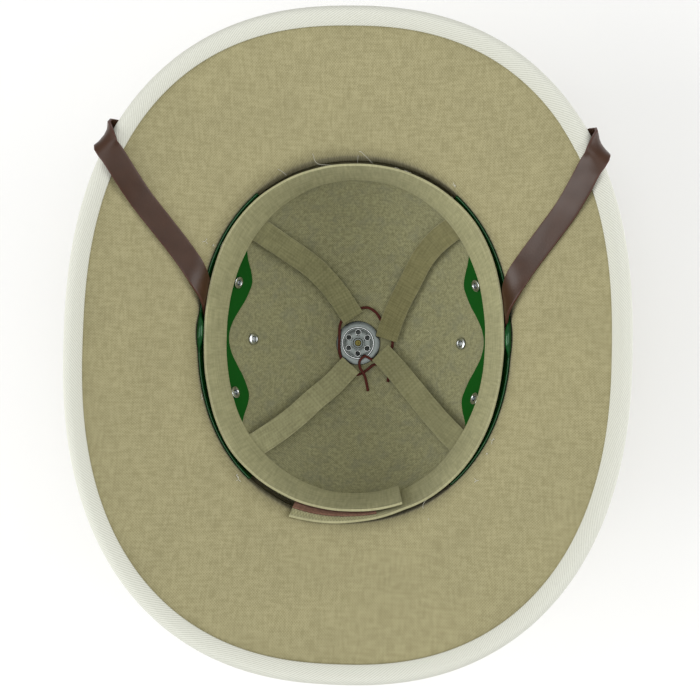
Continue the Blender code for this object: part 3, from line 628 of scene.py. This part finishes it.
def band_shift(degrees, share):
    """How far inward the headband stands off its ring where its ends overlap."""
    inner = BAND_LAP * (LAP_NEAR_SHARE + (LAP_FAR_SHARE - LAP_NEAR_SHARE) * share)
    outer = inner - BAND_LAP - GAP
    blend = BAND_INNER_END - BAND_OUTER_END
    if degrees < 360.0:
        return outer * (1 - ramp(degrees, BAND_INNER_END, BAND_INNER_END + blend))
    return inner * ramp(degrees, 360.0 + BAND_OUTER_END - blend, 360.0 + BAND_OUTER_END)


# The fold at the band's upper edge gets a pale painted highlight.
band_cotton = woven_cotton("khaki_band_cotton", "BCB98F", "9C9A73", 0.0007, 0.06, highlight_folds=(0.0,))


def lay_band(onward, down):
    degrees = BAND_OUTER_END + (BAND_INNER_END + 360.0 - BAND_OUTER_END) * onward
    share = down ** 1.5
    ripple = 0.0002 * noise.noise(Vector((onward * 40, share * 2, 0.0)))
    point = band_point(degrees, share, band_shift(degrees, share) + BAND_WALL + ripple)
    return point, (onward * BAND_LENGTH, share * BAND_HEIGHT)


headband_cloth = finish_piece("headband_cloth", moulded_grid(300, 24, lay_band, ring=False), band_cotton)
give_wall(headband_cloth, BAND_WALL, 0.0005)
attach(headband_cloth, "root")
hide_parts("headband")


# The fastening patch between the headband's ends: reddish-brown hook-and-loop tape, whose
# pile is short, matted and uneven.
PILE_SPACING = 0.0006
PATCH_SHORT, PATCH_NEAR, PATCH_SPAN = 9.0, 0.05, 0.75
hook_pile, tree, shader = new_material("brown_hook_and_loop")
place = add(tree, "TexCoord", {})
loops = add(tree, "TexVoronoi", {"Vector": place.outputs["Object"], "Scale": 1 / PILE_SPACING})
tufts = add(tree, "TexNoise", {"Vector": place.outputs["Object"], "Scale": 500.0, "Detail": 3.0})
pile = add(tree, "Mix", {0: tufts.outputs[0], 6: linear("5E4034"), 7: linear("9A7460")}, data_type="RGBA")
relief = add(tree, "Bump", {"Height": loops.outputs["Distance"], "Distance": 0.0004, "Strength": 0.8})
tree.links.new(pile.outputs[2], shader.inputs["Base Color"])
tree.links.new(relief.outputs[0], shader.inputs["Normal"])
shader.inputs["Roughness"].default_value = 1.0


def lay_patch(onward, down):
    degrees = BAND_OUTER_END + (BAND_INNER_END - PATCH_SHORT - BAND_OUTER_END) * onward
    share = PATCH_NEAR + PATCH_SPAN * down ** 1.5
    seat = band_shift(degrees, share) + BAND_WALL + GAP
    tuft = 0.00025 * noise.noise(Vector((onward * 110, down * 50, 0.0)))
    return band_point(degrees, share, seat + PATCH_WALL + tuft), (onward, down)


patch_pile = finish_piece("patch_pile", moulded_grid(130, 60, lay_patch, ring=False), hook_pile)
give_wall(patch_pile, PATCH_WALL)
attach(patch_pile, "root")
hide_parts("headband_patch")


# The two green strips: board coated in green, matt towards the wearer, cut to a scalloped
# far edge and held by eyelets. The near edge is rolled to a glossy green bead, which is
# pressed thin under the chin strap and swells beside it.
STRIP_WALL, STRIP_NEAR, STRIP_REACH = 0.001, 0.985, 55.0
BEAD_STEPS, BEAD_RADIUS, BEAD_SEAT, BEAD_STRAP = 160, 0.0007, FACING_TOP + 0.0003, 0.0001
BULGE_DEGREES, BULGE_REACH, BULGE_FADE, BULGE_SWELL, BULGE_OUT = 1.0, 1.0, 7.0, 0.0012, 0.03
CHIN_CROSSING, CHIN_CORE, CHIN_REACH = 12.0, 4.5, 7.5
STRIP_EDGE = (
    # (degrees from the side, how near the opening)
    (0.0, 0.695), (6.0, 0.680), (12.0, 0.647), (18.0, 0.617), (24.0, 0.604), (28.0, 0.607),
    (32.0, 0.640), (36.0, 0.700), (42.0, 0.780), (49.0, 0.850), (55.0, 0.920),
)


def smooth_read(table, value):
    """Read a table of two columns as one smooth curve."""
    last = len(table) - 1
    i = next((n for n in range(last) if value <= table[n + 1][0]), last - 1)
    low, high = table[i], table[i + 1]
    slopes = []
    for n in (i, i + 1):
        before, after = table[max(n - 1, 0)], table[min(n + 1, last)]
        slopes.append((after[1] - before[1]) / (after[0] - before[0]) if 0 < n else 0.0)
    gap = high[0] - low[0]
    t = min(max((value - low[0]) / gap, 0.0), 1.0)
    return (low[1] * (1 + 2 * t) * (1 - t) ** 2 + high[1] * (3 - 2 * t) * t * t
            + slopes[0] * gap * t * (1 - t) ** 2 - slopes[1] * gap * t * t * (1 - t))


green_matt, tree, shader = new_material("green_coated_board")
place = add(tree, "TexCoord", {})
mottle = add(tree, "TexNoise", {"Vector": place.outputs["Object"], "Scale": 30.0, "Detail": 2.0})
specks = add(tree, "TexNoise", {"Vector": place.outputs["Object"], "Scale": 1500.0, "Detail": 1.0})
board = add(tree, "Mix", {0: mottle.outputs[0], 6: linear("034E0C"), 7: linear("085E12")}, data_type="RGBA")
relief = add(tree, "Bump", {"Height": specks.outputs[0], "Distance": 0.0001, "Strength": 0.25})
tree.links.new(board.outputs[2], shader.inputs["Base Color"])
tree.links.new(relief.outputs[0], shader.inputs["Normal"])
shader.inputs["Roughness"].default_value = 0.6
shader.inputs["Specular IOR Level"].default_value = 0.2

green_foil, tree, shader = new_material("green_metallic_foil")
place = add(tree, "TexCoord", {})
creases = add(tree, "TexNoise", {"Vector": place.outputs["Object"], "Scale": 300.0, "Detail": 2.0})
foil = add(tree, "Mix", {0: creases.outputs[0], 6: linear("02380F"), 7: linear("085A28")}, data_type="RGBA")
relief = add(tree, "Bump", {"Height": creases.outputs[0], "Distance": 0.0002, "Strength": 0.2})
tree.links.new(foil.outputs[2], shader.inputs["Base Color"])
tree.links.new(relief.outputs[0], shader.inputs["Normal"])
shader.inputs["Metallic"].default_value = 0.2
shader.inputs["Roughness"].default_value = 0.14


def add_tube(shape, points, radii, sides):
    """Add a round strand along points, with a radius at each, closed at both ends."""
    across, loops = Vector((0.0, 0.0, 1.0)), []
    for i, (point, radius) in enumerate(zip(points, radii)):
        ahead = (points[min(i + 1, len(points) - 1)] - points[max(i - 1, 0)]).normalized()
        across = (across - ahead * across.dot(ahead)).normalized()
        other = ahead.cross(across)
        turns = [2 * math.pi * k / sides for k in range(sides)]
        loops.append([shape.verts.new(point + (across * math.cos(turn) + other * math.sin(turn)) * radius)
                      for turn in turns])
    for here, there in zip(loops, loops[1:]):
        for k in range(sides):
            j = (k + 1) % sides
            shape.faces.new((here[k], here[j], there[j], there[k]))
    shape.faces.new(reversed(loops[0]))
    shape.faces.new(loops[-1])


for name, side, middle in (("green_board_left", "left", 180.0), ("green_board_right", "right", 0.0)):
    def lay_strip(up, onward):
        degrees = (2 * onward - 1) * STRIP_REACH
        angle = math.radians(middle + degrees)
        far = smooth_read(STRIP_EDGE, abs(degrees))
        along = far + (STRIP_NEAR - far) * up
        point = above_shell(angle, along, STRIP_TOP)
        return point, (math.radians(degrees) * 0.09, along * 0.14)

    strip = finish_piece(name, moulded_grid(24, 150, lay_strip, ring=False), green_matt, green_foil)
    give_wall(strip, STRIP_WALL, 0.00025)
    punch(strip, EYELET_HOLE_RADIUS, [eyelet_place(row[1], row[2]) for row in EYELETS
                                      if row[3] and (90 < row[1] < 270) == (side == "left")])
    for face in strip.data.polygons:
        inward = Vector((CROWN_AXIS.x, CROWN_AXIS.y, OPENING_HEIGHT)) - face.center
        if face.normal.dot(inward.normalized()) < 0.5:
            face.material_index = 1
    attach(strip, "root")
    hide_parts("green_strip_" + side)

    shape, points, radii = bmesh.new(), [], []
    for i in range(BEAD_STEPS + 1):
        degrees = (2 * i / BEAD_STEPS - 1) * STRIP_REACH
        forward = -degrees if side == "left" else degrees
        strap = 1 - ramp(abs(forward - CHIN_CROSSING), CHIN_CORE, CHIN_REACH)
        bulge = 1 - ramp(abs(forward - BULGE_DEGREES), BULGE_REACH, BULGE_REACH + BULGE_FADE)
        radius = BEAD_RADIUS - BEAD_STRAP * strap + BULGE_SWELL * bulge
        along = STRIP_NEAR + BULGE_OUT * bulge
        points.append(above_shell(math.radians(middle + degrees), along, BEAD_SEAT + radius))
        radii.append(radius)
    add_tube(shape, points, radii, 12)
    bead = finish_piece("green_bead_" + side, shape, green_foil)
    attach(bead, "root")


# Six zinc eyelets, drawn from sheet and rolled over: four hold the green strips to the
# crown and two are air holes in its sides.
EYELET_BORE, EYELET_BARREL, EYELET_FLANGE, EYELET_WALL, EYELET_ROOM = 0.0016, 0.0023, 0.0037, 0.0007, 0.0009


def stamped_zinc(name, dull, bright, smooth, rough):
    """Stamped zinc, tarnished in small clouds and finely scratched."""
    material, tree, shader = new_material(name)
    place = add(tree, "TexCoord", {})
    tarnish = add(tree, "TexNoise", {"Vector": place.outputs["Object"], "Scale": 350.0, "Detail": 4.0})
    scratches = add(tree, "TexNoise", {"Vector": place.outputs["Object"], "Scale": 1800.0, "Detail": 2.0})
    metal = add(tree, "Mix", {0: tarnish.outputs[0], 6: linear(dull), 7: linear(bright)}, data_type="RGBA")
    polish = add(tree, "MapRange", {"Value": tarnish.outputs[0], "From Min": 0.3, "From Max": 0.7,
                                    "To Min": smooth, "To Max": rough})
    relief = add(tree, "Bump", {"Height": scratches.outputs[0], "Distance": 0.00005, "Strength": 0.15})
    tree.links.new(metal.outputs[2], shader.inputs["Base Color"])
    tree.links.new(polish.outputs[0], shader.inputs["Roughness"])
    tree.links.new(relief.outputs[0], shader.inputs["Normal"])
    shader.inputs["Metallic"].default_value = 1.0
    return material


# Bright zinc for the eyelets. It is also a painted highlight on the ventilator plug's rim and on the rings
# round its air holes.
bright_zinc_and_highlight = stamped_zinc("bright_zinc_and_painted_highlight", "BCC1C3", "E2E5E6", 0.2, 0.32)
zinc = stamped_zinc("dull_ventilator_zinc", "505654", "7A807D", 0.24, 0.40)


def spun(profile, steps, place):
    """Turn a profile of radius and height round an axis, closed unless it starts on it."""
    shape = bmesh.new()
    verts = [shape.verts.new((radius, 0.0, height)) for radius, height in profile]
    pairs = list(zip(verts, verts[1:]))
    if profile[0][0] > 0:
        pairs.append((verts[-1], verts[0]))
    edges = [shape.edges.new(pair) for pair in pairs]
    bmesh.ops.spin(shape, geom=verts + edges, cent=(0, 0, 0), axis=(0, 0, 1), angle=2 * math.pi, steps=steps,
                   use_merge=True)
    bmesh.ops.remove_doubles(shape, verts=shape.verts, dist=1e-7)
    bmesh.ops.recalc_face_normals(shape, faces=shape.faces)
    bmesh.ops.transform(shape, matrix=place, verts=shape.verts)
    return shape


def arc(centre, radius, start, end, count):
    """Points of a round corner in a profile, between two angles in degrees."""
    points = []
    for i in range(count + 1):
        turn = math.radians(start + (end - start) * i / count)
        points.append((centre[0] + radius * math.cos(turn), centre[1] + radius * math.sin(turn)))
    return points


for name, degrees, along, on_strip in EYELETS:
    top = (STRIP_TOP if on_strip else FACING_TOP) + EYELET_ROOM
    under = -SHELL_WALL - GAP
    roll = EYELET_WALL * 0.8
    profile = (
        arc((EYELET_BARREL + 0.0002, top + 0.0001), EYELET_BARREL + 0.0002 - EYELET_BORE, 180, 90, 6)
        + arc((EYELET_FLANGE - roll / 2, top + roll / 2), roll / 2, 90, -90, 6)
        + [(EYELET_BARREL, top), (EYELET_BARREL, under)]
        + arc((EYELET_FLANGE - roll / 2, under - roll / 2), roll / 2, 90, -90, 6)
        + [(EYELET_BORE + 0.0003, under - roll), (EYELET_BORE, under - roll / 2)]
    )
    eyelet = finish_piece(name + "_rolled", spun(profile, 32, eyelet_place(degrees, along)), bright_zinc_and_highlight)
    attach(eyelet, "root")
    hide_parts(name)


# The four cradle straps: khaki cotton folded to a flat band, sewn into the headband's
# lower edge. Each runs to the drawcord; its turned-over free end is not modelled.
CRADLE_WIDTH, CRADLE_WALL, CRADLE_ROOM, STRAP_STEP = 0.0150, 0.001, 0.001, 0.002
CRADLE_ROUTES = (
    # (degrees round the crown, how near the opening, height above the green strip in CRADLE_ROOM)
    ((134.5, 0.9, 0.6), (133.3, 0.79, 0.75), (132.6, 0.74, 0.9), (130.8, 0.643, 3.3),
     (128.4, 0.549, 3.8), (121.6, 0.381, 3.8), (114.2, 0.23, 3.3), (101.4, 0.108, 3.2)),
    ((46, 0.9, 0.6), (48.5, 0.79, 0.75), (49.6, 0.74, 0.9), (51.2, 0.647, 2.8), (52.2, 0.5, 2.8),
     (49.3, 0.368, 2.3), (41.5, 0.24, 2.5), (27, 0.172, 2.5), (8, 0.142, 2.5)),
    ((316.6, 0.9, 0.8), (316.9, 0.79, 0.86), (317.1, 0.74, 0.93), (317.4, 0.65, 2.9),
     (318, 0.54, 3.3), (321.5, 0.34, 3.7), (328.2, 0.205, 4.3), (338.6, 0.12, 4.7)),
    ((225, 0.9, 0.6), (226.6, 0.79, 0.75), (227.4, 0.74, 0.9), (228.8, 0.64, 5.3),
     (231, 0.5, 7.8), (234.4, 0.318, 6.3), (239.1, 0.227, 4.3), (253.7, 0.099, 3.1)),
)
STRAP_LIGHT_AND_SHADE_TONES = (
    #     (lighter and darker colour of the thread), each strap lighter or darker as painted light and shade
    ("99976F", "7D7B58"), ("918D64", "797550"), ("9A9873", "82805D"), ("AFAD86", "918F6B"),
)


def strap_grid(samples, width, wall, segments, swell):
    """A strap's upper face along a route, with swell(across, onward) added to its height."""
    count = len(samples) - 1
    frames, length = [], 0.0
    for i, row in enumerate(samples):
        point, facing = Vector(row[:3]), Vector(row[3:6]).normalized()
        ahead = Vector(samples[min(i + 1, count)][:3]) - Vector(samples[max(i - 1, 0)][:3])
        side = ahead.cross(facing).normalized()
        up = side.cross(ahead).normalized()
        if up.dot(facing) < 0:
            up.negate()
        length += (point - frames[-1][0]).length if frames else 0.0
        frames.append((point, side, up, length))

    def lay(onward, across):
        point, side, up, travelled = frames[round(onward * count)]
        offset = (across - 0.5) * width
        lift = wall + swell(across, travelled / frames[-1][3])
        return point - side * offset + up * lift, (travelled, offset)

    return moulded_grid(count, segments, lay, ring=False)


# Painted light and shade: each strap's cloth is lighter or darker for the light it gets, and a pale painted
# highlight runs along both folded edges.
for number, (route, (colour, shade)) in enumerate(zip(CRADLE_ROUTES, STRAP_LIGHT_AND_SHADE_TONES), 1):
    strap_cotton = woven_cotton(f"khaki_strap_cotton_{number}", colour, shade, 0.0007, 0.07,
                                highlight_folds=(-CRADLE_WIDTH / 2, CRADLE_WIDTH / 2))
    rows = []
    for degrees, along, room in route:
        angle = math.radians(degrees)
        rows.append((*above_shell(angle, along, STRIP_TOP + room * CRADLE_ROOM), *shell_normal(angle, along)))

    def rumple(across, onward, seed=number):
        return (0.00035 * noise.noise(Vector((onward * 9, across * 2.5, seed)))
                + 0.0002 * (1 - (2 * across - 1) ** 4))

    woven = strap_grid(smooth_route(rows, STRAP_STEP), CRADLE_WIDTH, CRADLE_WALL, 16, rumple)
    strap = finish_piece(f"cradle_cloth_{number}", woven, strap_cotton)
    give_wall(strap, CRADLE_WALL, 0.0004)
    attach(strap, "root")
    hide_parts(f"cradle_strap_{number}")


# The ventilator: a zinc collet through the crown's top, a pierced plug pressed into it, and
# a domed cap outside, all held by one brass rivet.
COLLET_BORE, COLLET_WALL, COLLET_TUBE, COLLET_FLANGE = 0.0096, 0.0008, 0.0104, 0.0146
PLUG_RADIUS, PLUG_DISC, PLUG_RIM_HEIGHT, PLUG_RIM_WALL, PLUG_BOSS = 0.0108, 0.0008, 0.0014, 0.0014, 0.0033
AIR_HOLES, AIR_HOLE_RADIUS, AIR_HOLE_CIRCLE = 6, 0.0016, 0.0071
RIVET_RADIUS, RIVET_HEAD, RIVET_RISE = 0.0012, 0.0021, 0.0007
CAP_RADIUS, CAP_ROUNDING, CAP_WALL = 0.0170, 0.0040, 0.0010
here = Matrix.Translation(CROWN_AXIS)
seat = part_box("vent_collet")[1].z - COLLET_WALL
plug_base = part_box("vent_plug")[0].z
boss_top = plug_base + PLUG_DISC + 0.0005
cap_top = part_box("vent_cap")[1].z
tube_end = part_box("vent_collet")[0].z

profile = (
    arc((COLLET_BORE + 0.0006, seat + COLLET_WALL - 0.0006), 0.0006, 180, 90, 5)
    + [(COLLET_BORE + 0.002, seat + COLLET_WALL * 0.8)]
    + arc((COLLET_FLANGE - 0.00045, seat + 0.00045), 0.00045, 70, -90, 7)
    + [(COLLET_TUBE, seat), (COLLET_TUBE, tube_end), (COLLET_BORE, tube_end)]
)
collet = finish_piece("ventilator_flange", spun(profile, 72, here), zinc)
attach(collet, "root")
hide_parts("vent_collet")

profile = (
    [(RIVET_RADIUS + GAP, plug_base), (PLUG_RADIUS, plug_base)]
    + arc((PLUG_RADIUS - 0.0005, plug_base + PLUG_RIM_HEIGHT - 0.0005), 0.0005, 0, 180, 8)
    + [(PLUG_RADIUS - PLUG_RIM_WALL + 0.0003, plug_base + PLUG_DISC + 0.0001),
       (PLUG_RADIUS - PLUG_RIM_WALL, plug_base + PLUG_DISC - 0.0002),
       (PLUG_RADIUS - PLUG_RIM_WALL - 0.0003, plug_base + PLUG_DISC),
       (PLUG_BOSS + 0.0006, plug_base + PLUG_DISC), (PLUG_BOSS + 0.0002, plug_base + PLUG_DISC - 0.0002)]
    + arc((PLUG_BOSS - 0.0005, boss_top - 0.0005), 0.0005, 0, 90, 4)
    + [(RIVET_HEAD + 0.0001, boss_top), (RIVET_RADIUS + GAP, boss_top - 0.0003)]
)
plug = finish_piece("ventilator_plug", spun(profile, 72, here), zinc, bright_zinc_and_highlight)
out = Matrix.Translation((0.0, AIR_HOLE_CIRCLE, plug_base))
punch(plug, AIR_HOLE_RADIUS, [here @ Matrix.Rotation(2 * math.pi * i / AIR_HOLES, 4, "Z") @ out
                              for i in range(AIR_HOLES)])
# Painted highlight: the rim's upward faces get the bright zinc, standing for the glint along the rim.
for face in plug.data.polygons:
    on_rim = (face.center.xy - CROWN_AXIS.xy).length > PLUG_RADIUS - PLUG_RIM_WALL / 2
    if on_rim and face.normal.z > 0.2:
        face.material_index = 1
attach(plug, "root")
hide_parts("vent_plug")

# Rolled burrs round the air holes, given the bright zinc as a painted glint at the holes' edges.
BURR_WIRE, BURR_SINK = 0.00028, 0.00012
burr_middle = plug_base + PLUG_DISC + BURR_WIRE - BURR_SINK
ring = arc((AIR_HOLE_RADIUS + BURR_WIRE, burr_middle - plug_base), BURR_WIRE, 0, 315, 7)
whole = bmesh.new()
for i in range(AIR_HOLES):
    shape = spun(ring, 20, here @ Matrix.Rotation(2 * math.pi * i / AIR_HOLES, 4, "Z") @ out)
    one = bpy.data.meshes.new("burr")
    shape.to_mesh(one)
    shape.free()
    whole.from_mesh(one)
    bpy.data.meshes.remove(one)
burrs_painted_bright = finish_piece("air_hole_burrs_painted_glint", whole, bright_zinc_and_highlight)
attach(burrs_painted_bright, "root")

brass, tree, shader = new_material("worn_brass")
place = add(tree, "TexCoord", {})
tarnish = add(tree, "TexNoise", {"Vector": place.outputs["Object"], "Scale": 900.0, "Detail": 3.0})
metal = add(tree, "Mix", {0: tarnish.outputs[0], 6: linear("3E3A1E"), 7: linear("6A6234")}, data_type="RGBA")
tree.links.new(metal.outputs[2], shader.inputs["Base Color"])
shader.inputs["Metallic"].default_value = 1.0
shader.inputs["Roughness"].default_value = 0.3
head = boss_top + GAP
profile = ([(0.0, CAP_WALL + GAP), (RIVET_RADIUS, CAP_WALL + GAP), (RIVET_RADIUS, head), (RIVET_HEAD, head)]
           + arc((RIVET_HEAD - 0.0005, head + RIVET_RISE - 0.0005), 0.0005, 0, 80, 5)
           + [(0.0008, head + RIVET_RISE - 0.0001), (0.0, head + RIVET_RISE - 0.0003)])
rivet = finish_piece("ventilator_rivet", spun(profile, 32, here), brass)
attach(rivet, "root")
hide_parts("vent_rivet")

flat_radius, skirt = CAP_RADIUS - CAP_ROUNDING, CAP_RADIUS - CAP_WALL
profile = ([(0.0, 0.0)] + arc((flat_radius, CAP_ROUNDING), CAP_ROUNDING, -90, 0, 10)
           + [(CAP_RADIUS, cap_top - 0.0002), (CAP_RADIUS - 0.0002, cap_top), (skirt, cap_top),
              (skirt, CAP_ROUNDING)]
           + arc((flat_radius, CAP_ROUNDING), CAP_ROUNDING - CAP_WALL, 0, -90, 6) + [(0.0, CAP_WALL)])
cap = finish_piece("ventilator_cap", spun(profile, 72, here), zinc)
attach(cap, "root")
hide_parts("vent_cap")


# The chin strap: one loop of dark red-brown leather, cut raw at the edges. It comes out
# from behind the headband, folds over the rim and crosses the crown's front outside.
CHIN_WIDTH, CHIN_WALL, CHIN_ROOM = 0.0130, 0.0015, 0.0006
CHIN_INSIDE = (
    # (along, left degrees, right degrees, height above the shell's inner face)
    (0.91, 9.0, 5.0, STRIP_TOP + CHIN_ROOM), (0.95, 11.5, 8.0, STRIP_TOP + CHIN_ROOM),
    (1.03, 15.6, 13.0, STRIP_TOP + CHIN_ROOM), (1.12, 19.4, 17.8, FACING_TOP + 2.5 * CHIN_ROOM),
    (1.20, 22.6, 21.4, FACING_TOP + 2 * CHIN_ROOM), (1.30, 25.7, 24.4, FACING_TOP + 1.5 * CHIN_ROOM),
    (1.50, 30.0, 28.6, FACING_TOP + 1.5 * CHIN_ROOM), (1.70, 33.3, 31.9, FACING_TOP + 1.5 * CHIN_ROOM),
    (1.83, 35.4, 34.0, TAPE_TOP + 2 * CHIN_ROOM), (1.97, 37.5, 36.3, TAPE_TOP + 2 * CHIN_ROOM),
)
CHIN_OUTSIDE = (
    # (along, left degrees, right degrees, height below the shell's inner face)
    (1.97, 41.5, 40.5, 2 * CHIN_ROOM - TAPE_UNDER), (1.82, 44.8, 43.8, 2 * CHIN_ROOM - TAPE_UNDER),
    (1.66, 48.0, 47.0, SHELL_WALL + CHIN_ROOM), (1.50, 51.2, 50.4, SHELL_WALL + CHIN_ROOM),
    (0.93, 66.0, 66.0, SHELL_WALL + CHIN_ROOM), (0.88, 78.0, 78.0, SHELL_WALL + CHIN_ROOM),
    (0.86, 90.0, 90.0, SHELL_WALL + CHIN_ROOM),
)
CHIN_TURN = (22.5, 45.0, 67.5, 90.0, 112.5, 135.0, 157.5)


def chin_side(column, left):
    """One half of the chin strap, from its hidden end to the crown's front."""
    rows = []
    for row in CHIN_INSIDE:
        angle = math.radians(180.0 - row[column] if left else row[column])
        rows.append((*above_shell(angle, row[0], row[3]), *shell_normal(angle, row[0])))
    inner, outer = CHIN_INSIDE[-1], CHIN_OUTSIDE[0]
    start, end = (math.radians(180.0 - row[column] if left else row[column]) for row in (inner, outer))
    middle_height, rise = (inner[3] - outer[3]) / 2, (inner[3] + outer[3]) / 2
    reach = GAP + TAPE_WALL + 2 * CHIN_ROOM
    for turn in CHIN_TURN:
        angle = start + (end - start) * turn / 180.0
        normal, rim_point = shell_normal(angle, RIM), shell_point(angle, RIM)
        out = (rim_point - shell_point(angle, inner[0])).normalized()
        sine, cosine = math.sin(math.radians(turn)), math.cos(math.radians(turn))
        point = rim_point + normal * (middle_height + rise * cosine) + out * reach * sine
        rows.append((*point, *(normal * cosine + out * sine)))
    for row in CHIN_OUTSIDE:
        angle = math.radians(180.0 - row[column] if left else row[column])
        rows.append((*above_shell(angle, row[0], -row[3]), *(-shell_normal(angle, row[0]))))
    return rows


leather, tree, shader = new_material("red_brown_leather")
flat = add(tree, "UVMap", {}, uv_map="cloth")
place = add(tree, "TexCoord", {})
pores = add(tree, "TexVoronoi", {"Vector": place.outputs["Object"], "Scale": 1100.0})
hide = add(tree, "TexNoise", {"Vector": place.outputs["Object"], "Scale": 120.0, "Detail": 4.0})
face = add(tree, "Mix", {0: hide.outputs[0], 6: linear("362114"), 7: linear("492D1B")}, data_type="RGBA")
parts = add(tree, "SeparateXYZ", {0: flat.outputs[0]})
off = add(tree, "Math", {0: parts.outputs[1]}, operation="ABSOLUTE")
rag = add(tree, "TexNoise", {"Vector": place.outputs["Object"], "Scale": 700.0, "Detail": 2.0})
ragged = add(tree, "Math", {0: rag.outputs[0], 1: 0.0006, 2: off.outputs[0]}, operation="MULTIPLY_ADD")
raw = add(tree, "MapRange", {"Value": ragged.outputs[0], "From Min": CHIN_WIDTH / 2 - 0.0004,
                             "From Max": CHIN_WIDTH / 2})
hide_colour = add(tree, "Mix", {0: raw.outputs[0], 6: face.outputs[2], 7: linear("4E2E24")}, data_type="RGBA")
relief = add(tree, "Bump", {"Height": pores.outputs["Distance"], "Distance": 0.0001, "Strength": 0.2})
tree.links.new(hide_colour.outputs[2], shader.inputs["Base Color"])
tree.links.new(relief.outputs[0], shader.inputs["Normal"])
shader.inputs["Roughness"].default_value = 0.40
shader.inputs["Specular IOR Level"].default_value = 0.4
shader.inputs["Coat Weight"].default_value = 0.03
shader.inputs["Coat Roughness"].default_value = 0.35


def crown_of_strap(across, onward):
    return -0.0002 * (2 * across - 1) ** 2 + 0.00015 * noise.noise(Vector((onward * 40, across * 2, 5.0)))


left, right = chin_side(1, True), chin_side(2, False)
chin_samples = smooth_route(left + right[-2::-1], STRAP_STEP)
chin_leather = finish_piece("chin_strap_leather",
                            strap_grid(chin_samples, CHIN_WIDTH, CHIN_WALL, 10, crown_of_strap), leather)
give_wall(chin_leather, CHIN_WALL, 0.0003)
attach(chin_leather, "root")
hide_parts("chin_strap")


# Loose threads: frayed ends of the facing's and the headband's cotton, five long ones and
# a dozen short tufts, which lie round the opening where the cloth was cut.
THREAD_RADIUS, THREAD_STEP, THREAD_SIDES = 0.00013, 0.0008, 5
TUFT_LENGTH, TUFT_HAIRS, TUFT_ARCH = 0.0022, 4, 0.9
LONG_THREADS = (
    # (degrees round the crown, how near the opening, millimetres above the facing), end to end
    ((103.5, 1.124, 0.3), (103.0, 1.0, 1.5), (97.5, 0.97, 3.4)),
    ((90.0, 0.96, 2.5), (88.6, 1.092, 0.3), (87.5, 1.058, 0.8), (84.9, 0.97, 2.5)),
    ((298.9, 0.973, 2.5), (294.3, 1.026, 1.0), (294.3, 1.206, 0.3)),
    ((115.2, 1.103, 0.3), (114.4, 1.053, 0.6), (113.8, 0.988, 1.5)),
    ((55.9, 0.985, 2.8), (53.4, 0.975, 3.3), (50.2, 0.98, 2.9)),
)
TUFTS = (
    # (degrees round the crown, how near the opening, millimetres above the facing)
    (76.6, 0.97, 2.5), (73.1, 0.97, 2.5), (147.7, 1.071, 0.3), (146.7, 0.982, 2.0), (148.2, 1.167, 0.3),
    (231.4, 1.106, 0.3), (202.8, 1.038, 0.3), (232.8, 1.12, 0.3), (56.9, 1.106, 0.3), (324.9, 1.098, 0.3),
    (320.9, 1.118, 0.3), (312.4, 1.197, 0.3),
)
chance = random.Random(7)
shape = bmesh.new()
for row in LONG_THREADS:
    ends = [above_shell(math.radians(degrees), along, FACING_TOP + room * 0.001)
            for degrees, along, room in row]
    points = [Vector(sample) for sample in smooth_route([tuple(point) for point in ends], THREAD_STEP)]
    add_tube(shape, points, [THREAD_RADIUS] * len(points), THREAD_SIDES)
for degrees, along, room in TUFTS:
    angle = math.radians(degrees)
    root, normal = above_shell(angle, along, FACING_TOP + room * 0.001), shell_normal(angle, along)
    for _ in range(TUFT_HAIRS):
        heading = Vector((chance.uniform(-1, 1), chance.uniform(-1, 1), 0.0))
        lying = (heading - normal * heading.dot(normal)).normalized()
        reach = TUFT_LENGTH * chance.uniform(0.5, 1.0)
        points = [root + lying * reach * t + normal * reach * TUFT_ARCH * t * (1 - t)
                  for t in (0.0, 0.25, 0.5, 0.75, 1.0)]
        add_tube(shape, points, [THREAD_RADIUS] * len(points), THREAD_SIDES)
threads = finish_piece("loose_threads", shape, stitch_thread)
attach(threads, "root")
